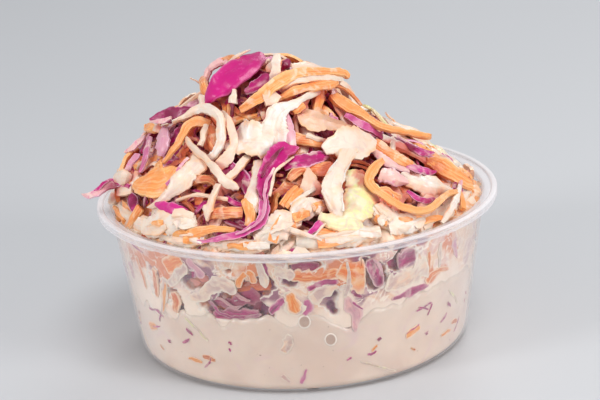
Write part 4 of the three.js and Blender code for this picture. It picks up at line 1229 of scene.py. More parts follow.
# %% The winding strip and the pieces in the middle
MIDDLE_PIECES = [
    ("winding strip", RED, 0.34, 0.9, -0.2, [(-2.9, 16, 4.6, 2.8), (-4.4, 14.6, 6.4, 3.5),
        (-6.8, 12.3, 5.8, 3.9), (-9.2, 9.2, 4.5, 4), (-10.4, 5.2, 3.7, 3.9), (-10.8, 2.3, 2.8, 3.8),
        (-10.7, 0.4, 1, 3.6)]),
    ("winding strip's tail", RED, 0.62, 0.8, -0.2, [(-10.3, 3.6, 1, 3.2), (-10.8, 1, 2.8, 3.5),
        (-10.3, -3, 2.7, 3.3), (-11.5, -6.7, 2.7, 3.2), (-15, -8.8, 2.3, 2.9), (-18.9, -10.3, 2.1, 2.7),
        (-23.3, -11.5, 1.6, 2.5), (-30.1, -12.3, 0.9, 1.9)]),
    # The dark fold is painted shade in the winding strip's crease.
    ("its dark fold", RED, 0.08, 0.5, 0.1, [(-5, 15.4, 0.5, 3.9), (-7.4, 13, 1.1, 4.3),
        (-9.9, 9.9, 0.9, 4.5), (-11.2, 6.6, 0.5, 4.4)]),
    ("its pink fold", RED, 0.86, 0.5, 0.1, [(-7.6, 9.2, 0.5, 4.5), (-9.3, 6, 0.9, 4.6), (-10.4, 2.4, 1, 4.4),
        (-10.3, -1.6, 0.9, 4.1), (-11.2, -5.4, 0.8, 3.9), (-14.2, -8, 0.7, 3.6), (-19, -10, 0.6, 3.2)]),
    ("its pale edge", WHITE, 0.5, 0.6, 0.1, [(-1.9, 12.6, 0.6, 3.6), (-4.4, 10.7, 0.8, 4.2),
        (-7.3, 8.1, 0.8, 4.4), (-8.2, 4.4, 0.8, 4.2), (-9, 1.2, 0.8, 4)]),
    ("purple branch", RED, 0.42, 0.8, 0.3, [(-4.7, 9.4, 2.4, 1.7), (-1.2, 10.9, 3.6, 2.5),
        (2.5, 12, 3.5, 2.6), (6.6, 13.1, 3, 2.2), (8.2, 13.2, 2.2, 1.4)]),
    ("hanging leaf's top", WHITE, 0.16, 0.7, 0.2, [(7, 14.4, 2, 3.4), (9.6, 15.9, 5, 4.4),
        (12.8, 16.2, 8.6, 5), (16, 16.4, 9.4, 5), (18.9, 17.2, 8, 4.4), (21.4, 18.2, 3, 3.4)]),
    ("hanging leaf", WHITE, 0.24, 0.7, 0.3, [(15.4, 17.6, 4, 3.4), (14, 14.2, 5.4, 4.4),
        (12.9, 11, 4.4, 4.9), (10.9, 8.2, 5.4, 5.1), (9.5, 4.6, 5.6, 5.1), (9.9, 0.6, 5.2, 4.8),
        (11.1, -2.9, 3.6, 3.8), (12, -5.2, 0.8, 2.4)]),
    ("its left edge", WHITE, 0.0, 0.6, 0.1, [(10.8, 11.4, 0.5, 5), (8.2, 7.9, 0.7, 5.4),
        (6.9, 4.4, 0.7, 5.4), (7.6, 0.4, 0.7, 5.1), (9.5, -3, 0.6, 4.2)]),
    ("its right edge", WHITE, 0.0, 0.6, 0.1, [(14.9, 11.2, 0.5, 5.2), (13.3, 7.9, 0.6, 5.5),
        (12.2, 4.4, 0.6, 5.5), (12.4, 0.4, 0.6, 5.1), (12.7, -3.4, 0.5, 4.2)]),
    ("smooth hollow leaf", WHITE, 0.82, 1.0, -0.8, [(0.4, 25.3, 3.6, 1.2), (2.2, 24.1, 5.2, 2.4),
        (5, 22.9, 5.3, 3), (8.7, 22.3, 4.3, 3), (12.2, 21.6, 3.2, 2.8), (14.8, 20.7, 2.1, 1.8)]),
    ("orange at its end", CARROT, 0.3, 1.4, 0.3, [(-2.2, 25.7, 2.1, 2), (-0.7, 27, 3, 2.7),
        (0.9, 27.6, 2, 2.8)]),
    ("short stick", CARROT, 0.5, 1.2, 0.3, [(-1.8, 18.2, 3.4, 0.8), (1.3, 17.6, 3, 1.6),
        (4.8, 16.7, 2.5, 1.8), (8.2, 16, 1.8, 1.1)]),
    ("pale sliver over it", WHITE, 0.4, 0.8, 0.2, [(1.8, 18.8, 1.6, 2.3), (5.4, 17.9, 1.7, 2.6),
        (9.4, 17.2, 1.4, 1.8)]),
    ("shaded slice", CARROT, 0.75, 1.2, 0.3, [(2.8, 8.8, 2.4, 0.8), (5.9, 8.8, 4.2, 1.7), (9, 9.7, 4, 1.7),
        (10.1, 9.8, 2, 0.8)]),
    ("shaded arc", CARROT, 0.8, 1.0, 0.3, [(-3.4, 5.7, 1.8, 0.5), (-1.8, 7.6, 2.6, 1.2),
        (0.4, 8.5, 2.2, 1.4), (2.5, 7.6, 1.6, 0.6)]),
    ("beige fan", WHITE, 0.75, 0.8, 0.3, [(2.3, 9.1, 0.8, 1.6), (2.9, 6.2, 3.6, 1.8), (3.5, 3.4, 5.6, 1.8),
        (4, 1.5, 5.8, 1)]),
    ("front stick", CARROT, 0.3, 1.3, 0.2, [(-1, 3.5, 1.8, 2.3), (-3.4, 1, 2, 2.7), (-5.6, -1.6, 1.8, 2.1)]),
    ("front stick beside it", CARROT, 0.2, 1.2, 0.2, [(0.3, 2.9, 1.5, 2.1), (-2.1, 0.3, 1.5, 2.7),
        (-4, -2.2, 1.2, 2.1)]),
    ("white line over them", WHITE, 0.1, 1.0, 0.1, [(4.3, 3.1, 1.1, 1.9), (0.7, 0.9, 1.2, 2.9),
        (-2.8, -1.5, 1.1, 2.5)]),
    ("limp green leaf", WHITE, 1.0, 0.7, 0.3, [(15.8, 8.6, 4.2, 0.8), (17.4, 6, 8, 1.6), (18.4, 3, 9.8, 2),
        (17.4, 0, 9.8, 2.4), (15.3, -3, 9, 2.5), (12.8, -5.8, 7.4, 2.1), (10.4, -7.4, 3, 1.1)]),
    ("green rib", WHITE, 0.94, 1.0, 0.3, [(7.9, -0.6, 1.2, 2.5), (9.7, -3.2, 1.8, 2.9),
        (11.2, -5.1, 1.8, 2.5)]),
    ("green lump", WHITE, 0.93, 1.4, 0.6, [(5.9, -5.6, 2.8, 1.2), (8.7, -6.6, 4.2, 2), (12, -7.2, 4.2, 2),
        (15.4, -7.6, 4, 1.6), (17.9, -7.5, 3, 0.8)]),
    ("magenta dash", RED, 0.5, 0.9, 0.2, [(2.3, -10.3, 1.2, 2.3), (4.4, -8.2, 1.5, 2.9),
        (6.2, -6.6, 1.4, 2.9)]),
    ("its white edge", WHITE, 0.05, 0.9, 0.2, [(3.8, -11, 0.9, 2.1), (5.4, -9.1, 0.8, 2.7),
        (7.3, -7, 0.9, 2.8)]),
    ("upright stick", CARROT, 0.3, 1.5, 0.2, [(-15.9, -0.1, 2.9, 2), (-15.1, -2.6, 2.8, 2.8),
        (-14.4, -5.1, 2.8, 2.6), (-15, -7.6, 2.3, 1.6)]),
    ("white strip", WHITE, 0.15, 1.0, 0.5, [(-12.2, 11.3, 3.3, 1.5), (-12.8, 7.3, 3.3, 2.3),
        (-13.8, 3.1, 3.5, 2.7), (-14.4, -0.3, 4.1, 2.2), (-12.6, -4.1, 1.8, 1.5)]),
    ("low white stick", WHITE, 0.1, 1.2, 0.1, [(-4.1, -8.5, 1.2, 2.5), (-0.9, -9.3, 1.4, 2.9),
        (2.1, -10.4, 1.4, 2.5), (6.3, -11.7, 0.9, 1.5)]),
]
print(len(MIDDLE_PIECES), "pieces in the middle")

# %% The loop and the pieces on the right
RIGHT_PIECES = [
    ("loop", CARROT, 0.18, 1.4, 0.2, [(24.2, 11.5, 1.4, 1.8), (21.6, 9.2, 2.8, 3.7), (20, 5.8, 2.6, 4.1),
        (21.2, 3.5, 2.2, 4.1), (23.8, 1.9, 1.8, 4.2), (26.4, 0, 2, 4.4), (30, -2.1, 2, 4.8),
        (35.1, -3.3, 2, 5.2), (38.5, -2.5, 1.8, 5.2), (41.1, -0.3, 1.8, 4.8), (43.3, 1.6, 1.6, 4.2),
        (46.5, 2.1, 1.6, 3.4), (47.6, 0.1, 1.4, 2.6), (47.7, -2.9, 1.4, 1.4)]),
    ("broad orange", CARROT, 0.4, 1.4, 0.4, [(20.4, 17, 2, 1.4), (22.6, 16.4, 3.6, 2.7),
        (26, 14.1, 3.8, 3.3), (29.4, 12, 3.6, 3.3), (32.5, 10.3, 2.4, 2.2)]),
    ("pink sheet", RED, 0.98, 0.6, 0.3, [(21.6, 14.7, 1.6, 1.7), (24.7, 11.7, 2.6, 2.2), (28.5, 9.5, 1.8, 2),
        (31.7, 8.4, 1.4, 1.1)]),
    ("upper purple", RED, 0.55, 0.9, 0.4, [(31.1, 16.4, 1.4, 1.8), (33.6, 15.3, 2.9, 2.8),
        (36.3, 14, 2.6, 2.8), (39.1, 13.8, 0.8, 2.1)]),
    ("middle purple", RED, 0.58, 0.9, 0.3, [(31.4, 10, 1.3, 1.9), (34.5, 9.1, 2.5, 2.7),
        (37.6, 8.1, 2.1, 2.5), (39.5, 7.9, 0.7, 1.8)]),
    ("lower purple", RED, 0.4, 0.7, 0.2, [(31.4, 2.6, 0.9, 2.5), (33.9, 0.7, 1.5, 3.1),
        (36.9, -0.4, 1.5, 3.3), (39.4, 0.4, 1.1, 2.7)]),
    ("orange near the rim", CARROT, 0.25, 1.3, 0.2, [(38, 11.6, 3, 2.4), (41.2, 10.4, 5, 3.8),
        (44.1, 8.3, 4.8, 4.2), (47.1, 6.4, 4.8, 4), (50.2, 4.4, 3.4, 3)]),
    ("white leaf", WHITE, 0.1, 0.7, 0.4, [(30.1, 7.9, 4, 2), (33.2, 6, 5.2, 3.1), (36.6, 4.8, 6.4, 3.6),
        (39.8, 4.5, 7, 3.4), (42.6, 3.6, 4.8, 2.8), (44.6, 2.9, 1.6, 1.6)]),
    ("pink leaf", RED, 0.98, 0.7, 0.3, [(23.6, 8, 5, 2.4), (26.7, 7.2, 5.6, 3.4), (29.6, 6, 4, 3),
        (31.8, 4.8, 1.4, 2)]),
    ("stick at the rim", WHITE, 0.1, 1.0, 0.2, [(46.7, 3.8, 1.3, 3.8), (46.1, 0.9, 1.7, 4),
        (44.6, -2.1, 1.9, 3.8), (42.9, -4.8, 1.6, 3), (41.7, -6.6, 1.2, 2)]),
    ("its lilac end", RED, 0.92, 0.7, 0.1, [(47.4, 7.6, 1.4, 3), (47.3, 5.6, 1.3, 3.4),
        (46.8, 3.5, 1.3, 3.6)]),
    ("dark line beside it", RED, 0.3, 0.7, 0.1, [(46.3, 7.3, 0.9, 2.6), (45.7, 5, 1, 2.8),
        (45.1, 2.9, 0.9, 2.4)]),
    ("peach at the rim", CARROT, 0.25, 1.2, 0.3, [(34.7, -6.8, 1.6, 1.2), (37.9, -5.9, 2, 1.9),
        (40.7, -5.3, 1.5, 1.8), (42.4, -5.4, 0.9, 1.1)]),
]
print(len(RIGHT_PIECES), "pieces on the right")

# %% Smooth lines through drawn points
CURVE_STEPS = 24


def smooth_line(control, stations):
    """A Catmull-Rom curve through the control points, with stations evenly spaced on the sheet."""
    control = np.array(control, dtype=float)
    padded = np.concatenate([[2 * control[0] - control[1]], control, [2 * control[-1] - control[-2]]])
    dense = []
    for i in range(1, len(padded) - 2):
        a, b, c, d = padded[i - 1:i + 3]
        for t in np.linspace(0, 1, CURVE_STEPS, endpoint=False):
            dense.append(0.5 * (2 * b + (c - a) * t + (2 * a - 5 * b + 4 * c - d) * t ** 2
                                + (3 * b - a - 3 * c + d) * t ** 3))
    dense = np.array([*dense, control[-1]])
    run = np.concatenate([[0], np.cumsum(np.linalg.norm(np.diff(dense[:, :2], axis=0), axis=1))])
    at = np.linspace(0, run[-1], stations)
    return np.stack([np.interp(at, run, dense[:, k]) for k in range(control.shape[1])], axis=-1)


def stations_on(path, in_each_mm, fewest, most):
    """How many stations a drawn path gets for its length."""
    length = sum(math.dist(a[:2], b[:2]) for a, b in zip(path, path[1:]))
    return int(np.clip(length * in_each_mm, fewest, most))


print(len(smooth_line(TOP_PIECES[0][-1], 31)), "points along the petal")

# %% Lumps of cabbage in dressing
LUMPS = [
    # the lumps on the heap's foot, from left to right, as (x, y, width, height over the heap)
    [(-45.4, -8.5, 4.6, 0.6), (-42.3, -8.2, 7, 1.4), (-38.8, -7, 7.4, 2.2), (-34.8, -6.5, 6.6, 2.4),
        (-30.5, -5.9, 3, 1)],
    [(-40, -10.3, 3, 0.4), (-34, -10.9, 4.4, 1), (-27.5, -11.6, 3, 0.4)],
    [(-26, -12.6, 2.6, 0.3), (-20, -13.2, 3.6, 0.8), (-14, -13.3, 3.6, 0.8), (-9, -13, 2.6, 0.4)],
    [(-12.8, -11.3, 4, 0.6), (-9.4, -9.4, 8, 2), (-6, -7.6, 9.6, 2.8), (-2.6, -6.4, 6, 1.8),
        (0, -6.4, 2.6, 0.8)],
    [(-2.2, -5.7, 3, 1.1), (0.1, -3.8, 5.6, 2.3), (2.8, -2.3, 5.8, 2.6), (7.5, -1.5, 3, 1.4)],
    [(-1, -11.8, 3.6, 0.3), (7, -11.4, 5.4, 1), (15, -10.6, 5.4, 1), (23, -9, 3.6, 0.4)],
    [(20.9, -3.6, 4, 0.4), (23.1, -4.3, 7, 1), (25.7, -5, 7.4, 1.1), (29.2, -5, 3, 0.6)],
    [(25.6, -8.1, 4, 0.4), (31.4, -7, 4.8, 1.3), (37.2, -6, 3.4, 0.9)],
]
CLUMP_STATIONS = 31


def clump(seed, path, count=7):
    """A lump of slaw: a base and several short strips stuck on it, given as more drawn pieces."""
    rng = np.random.default_rng(seed)
    line = smooth_line(path, CLUMP_STATIONS)
    sunk = [(x, y, width, height - 0.5) for x, y, width, height in path]
    pieces = [("base", WHITE, 0.12, 1.4, 0.9, sunk)]
    for _ in range(count):
        start, end = sorted(rng.choice(CLUMP_STATIONS, 2, replace=False))
        end = min(CLUMP_STATIONS - 1, max(end, start + 12))
        side = rng.uniform(-0.45, 0.45, 2)
        rise = rng.uniform(0, 1.2, 3)
        width = rng.uniform(1.0, 3.2)
        kind, palest = (CARROT, 0) if rng.random() < 0.35 else (WHITE, 0.05)
        tone = rng.uniform(palest, 0.5)
        strip = []
        for share in (0.0, 0.5, 1.0):
            x, y, wide, height = line[int(start + (end - start) * share)]
            away = (side[0] * (1 - share) + side[1] * share) * wide
            taper = 0.5 if share == 1 else 1
            strip.append((x + 0.4 * away, y - 0.9 * away, width * taper, height + rise[int(2 * share)]))
        pieces.append(("strip", kind, tone, rng.uniform(0.5, 0.9), 0.2, strip))
    return pieces


lumps = [piece for number, path in enumerate(LUMPS) for piece in clump(number, path)]
plain_lumps = [piece for number, path in enumerate(LUMPS) for piece in clump(number, path, 4)]
print(len(LUMPS), "lumps of", len(lumps), "pieces")

# %% Drawn lines become strips
TOWARDS_SHEET = 0.5
AGAIN_HEIGHT, AGAIN_SUNK, MOST_MISSED = 0.5, 0.7, 0.5
LITTLE_FILM = {
    "petal": 0.0, "dark curl": 0.1, "cut under the petal": 0.2, "winding strip": 0.0,
    "smooth hollow leaf": 0.1, "its dark fold": 0.05, "winding strip's tail": 0.25, "dark wing": 0.1,
    "magenta tip": 0.1, "purple bar": 0.2, "loop": 0.2, "long stick on the right": 0.1, "broad slice": 0.2,
    "bent stick": 0.25, "orange near the rim": 0.15,
}


def drawn_strips(pieces, seed, turn=0.0):
    """Strips from drawn pieces, one mesh for each; on a turned sheet, pieces that would miss the heap are
    left out.
    """
    strips = []
    for number, (name, kind, tone, thickness, bulge, path) in enumerate(pieces):
        rng = np.random.default_rng([seed, number])
        stations = stations_on(path, 1.0 if turn else 1.7, 9, 61)
        x, y, width, height = smooth_line(path, stations).T
        height = height * AGAIN_HEIGHT - AGAIN_SUNK if turn else height
        line, missed = meet(x, y, height, height_over_heap, turn)
        if turn and missed.max() > MOST_MISSED:
            continue
        kinks = max(4, stations // 5)
        line = line + heap_normal(line) * 0.3 * broken_line(rng, (1,), kinks, stations).T
        to_sheet = turned_about_axis(np.array(CAMERA_BACK), turn)
        facing = unit(heap_normal(line) * (1 - TOWARDS_SHEET) + to_sheet * TOWARDS_SHEET)
        tangent = unit(np.gradient(line, axis=0))
        facing = rotated(facing, tangent, 0.3 * broken_line(rng, (), kinks, stations))
        columns = int(np.clip(width.max() * (1.2 if turn else 2.0), 4, 9 if turn else 19))
        ragged = {"petal": 0.02}.get(name, 0.13 if kind is CARROT else 0.26)
        edges = ragged_edges(rng, 1, stations, ragged, max(4, stations // 4), (0.9, 1.1))
        folded = width[:, None] * (0.35 if name == "base" else 1)
        rise = creased(rng, np.linspace(-1, 1, columns), stations, folded, bulge)
        points, ring_u = sweep(line[None], facing[None], width[None], np.array([thickness]), edges, rise)
        points = press_into_tub(roughen(points, 3, 0.08, seed), over_rim=True)
        tones = uneven_tone(rng, np.array([tone]), stations)
        film = LITTLE_FILM.get(name, rng.uniform(0.3, 0.7))
        mesh = shred_mesh(points, ring_u, tones, np.zeros((1, stations)), np.array([film]))
        strips.append((kind, mesh, points.reshape(-1, 3)))
    return strips


drawn = drawn_strips([*TOP_PIECES, *LEFT_PIECES, *MIDDLE_PIECES, *RIGHT_PIECES, *lumps], 63)
print(len(drawn), "drawn pieces in front")

# %% [markdown]
# The sides and the back are as rich as the front. The same drawings, without the few that exist
# only once, such as the petal, are laid on the heap again with the sheet turned, so that each falls
# on another slope and takes another form.

# %% The drawings again on the sides and the back
AGAIN = [
    # how far the sheet is turned, in degrees, and the pieces drawn on it
    (96, RIGHT_PIECES[1:] + MIDDLE_PIECES[1:] + plain_lumps), (165, LEFT_PIECES + plain_lumps),
    (180, TOP_PIECES[5:]), (214, MIDDLE_PIECES[3:] + RIGHT_PIECES + plain_lumps),
    (284, LEFT_PIECES[2:] + plain_lumps), (80, TOP_PIECES[6:-6]),
]
for index, (turn, pieces) in enumerate(AGAIN):
    again = drawn_strips(pieces, 60 + index, math.radians(turn))
    drawn += again
    print(len(again), "pieces at", turn, "degrees")

DRAWN_POINTS = np.concatenate([points[::3] for _, _, points in drawn])
DRAWN_HEIGHT = height_over_heap(DRAWN_POINTS)

# %% [markdown]
# ## The many shreds
#
# Hundreds of random shreds fill the heap in between, in layers from the core outward. Most are thin
# strips, some are broad ruffled leaves, and some are thick ribs. Where a drawn piece lies, they duck
# under it. Another set is pressed against the wall inside the tub. Each kind of vegetable ends up as
# one mesh.

# %% Random shreds duck under the drawn pieces
CELL = 3.0
NOTHING_NEAR = 99.0
DEEPEST_DUCK = 6


def cell_numbers(p):
    index = np.floor((p + 100) / CELL).astype(np.int64)
    return (index[..., 0] * 128 + index[..., 1]) * 128 + index[..., 2]


def duck_under(lines, normals, clear=1.2):
    """Pushes the lines of random shreds down where a drawn piece lies over them."""
    lowest = {}
    for number, height in zip(cell_numbers(DRAWN_POINTS).tolist(), DRAWN_HEIGHT.tolist()):
        lowest[number] = min(height, lowest.get(number, NOTHING_NEAR))
    flat, up = lines.reshape(-1, 3), normals.reshape(-1, 3)
    height = height_over_heap(flat)
    drop = np.zeros(len(flat))
    for step in (-6, -3, 0, 3, 6):
        cells = cell_numbers(flat + up * step).tolist()
        near = np.array([lowest.get(number, NOTHING_NEAR) for number in cells])
        drop = np.maximum(drop, height - (near - clear))
    drop = np.clip(drop, 0, DEEPEST_DUCK).reshape(lines.shape[:2])
    smooth = drop.copy()
    for _ in range(2):
        smooth[:, 1:-1] = np.maximum(smooth[:, 1:-1], (smooth[:, 2:] + smooth[:, :-2]) / 2)
    return lines - normals * smooth[..., None]


print(len(DRAWN_POINTS), "points to duck under")

# %% Random shreds on the heap
HIGHEST_RANDOM = 85.5
LEAN = 1.5
MOST_ARCH = 1.2
MISFIT_SHARE = 0.02


def random_strips(rng, lines, facing, twist, tones, width, columns, cup, ruffle, thickness, ragged):
    """Sweeps strips along many lines, each with its own twist, tone, width, hollow and edges."""
    count, stations = lines.shape[:2]
    facing = twisted(facing, lines, rng.normal(0, twist, count), rng.normal(0, twist, count))
    tone = rng.uniform(*tones, count)
    wide = np.repeat(rng.uniform(*width, count)[:, None], stations, axis=1)
    hollow = rng.normal(0, cup, count)
    waving = rng.uniform(0.3, 1, count) * ruffle
    rise = cupped(np.linspace(-1, 1, columns), stations, hollow, waving, rng.uniform(0, 1, count))
    thick = rng.uniform(*thickness, count)
    points, ring_u = sweep(lines, facing, wide, thick, ragged_edges(rng, count, stations, ragged), rise)
    return points, ring_u, tone


def heap_shreds(seed, count, length, width, thickness, layers, twist=0.7, columns=3, cup=0.3,
                ruffle=0.15, low=0.02, high=1.0, curl=0.9, ragged=0.35, tones=(0, 1)):
    rng = np.random.default_rng(seed)
    spans, layer = rng.uniform(*length, count), rng.uniform(*layers, count)
    lean, arch = rng.normal(0, LEAN, count), rng.uniform(0, MOST_ARCH, count)
    lines, facing = heap_lines(rng, count, spans, layer, lean, arch, low, high, curl)
    points, ring_u, tone = random_strips(rng, duck_under(lines, facing), facing, twist, tones, width,
                                         columns, cup, ruffle, thickness, ragged)
    points = roughen(points, 8, 0.3, seed)
    through = (over_wall(points, WALL) > 1.5) & (points[..., 2] < TUB_HEIGHT + 1.2)
    too_high = points[..., 2] > HIGHEST_RANDOM
    fits = (through | too_high).reshape(count, -1).mean(axis=1) < MISFIT_SHARE
    points[..., 2] = np.minimum(points[..., 2], HIGHEST_RANDOM)
    coated = rng.uniform(0.2, 0.9, count)[fits]
    tone = uneven_tone(rng, tone, SHRED_STATIONS)[fits]
    deep = np.zeros((fits.sum(), SHRED_STATIONS))
    return shred_mesh(press_into_tub(points[fits]), ring_u, tone, deep, coated)


print("random shreds stay under", HIGHEST_RANDOM, "mm")

# %% [markdown]
# The deeper a point lies below the shreds that cover it, the more shade is painted into its colour,
# warmer and darker.
# The outermost point of all shreds is found in each small cell of directions from the heap's middle,
# and every point is measured against it. Four turned grids are averaged, so that no cell shows.

# %% How deep each point lies
DIRECTION_CELL = math.radians(2.6)
DIRECTION_GRID = (80, 160)
GRIDS = 4
FULL_DEPTH = 4.5


def direction_cells(p, tilt):
    d = unit(p - HEAP_CENTRE) @ tilt
    row = np.floor((np.arcsin(np.clip(d[:, 2], -1, 1)) + math.pi / 2) / DIRECTION_CELL).astype(int)
    ring = np.cos((row + 0.5) * DIRECTION_CELL - math.pi / 2)
    column = np.floor((np.arctan2(d[:, 1], d[:, 0]) + math.pi) * ring / DIRECTION_CELL).astype(int)
    return row, column


def sink_into_heap(parts):
    """Sets how much painted shade each point gets, on all shreds of the heap together."""
    p = np.concatenate([points for points, _, _ in parts])
    height = height_over_heap(p)
    rng = np.random.default_rng(5)
    deep = np.zeros(len(p))
    for _ in range(GRIDS):
        tilt, _ = np.linalg.qr(rng.normal(size=(3, 3)))
        row, column = direction_cells(p, tilt)
        top = np.full(DIRECTION_GRID, -99.0)
        np.maximum.at(top, (row, column), height)
        deep += np.clip((top[row, column] - height - 0.6) / FULL_DEPTH, 0, 1) / GRIDS
    # less painted shade low down, near the rim
    deep *= np.clip(0.1 + (p[:, 2] - TUB_HEIGHT) / 10, 0.1, 1)
    ends = np.cumsum([len(points) for points, _, _ in parts])[:-1]
    for (_, _, attributes), share in zip(parts, np.split(deep, ends)):
        attributes["deep"] = share


print(GRIDS, "grids of", round(math.degrees(DIRECTION_CELL), 1), "degrees")

# %% [markdown]
# ## Against the wall
#
# Behind the clear plastic one sees strips pressed flat in cream, and in the dressing below them a
# few thin bits that touch the wall. In front both are drawn on the same sheet, now with a width and
# a distance in from the wall. The bits are laid on the sides and the back with the sheet turned.

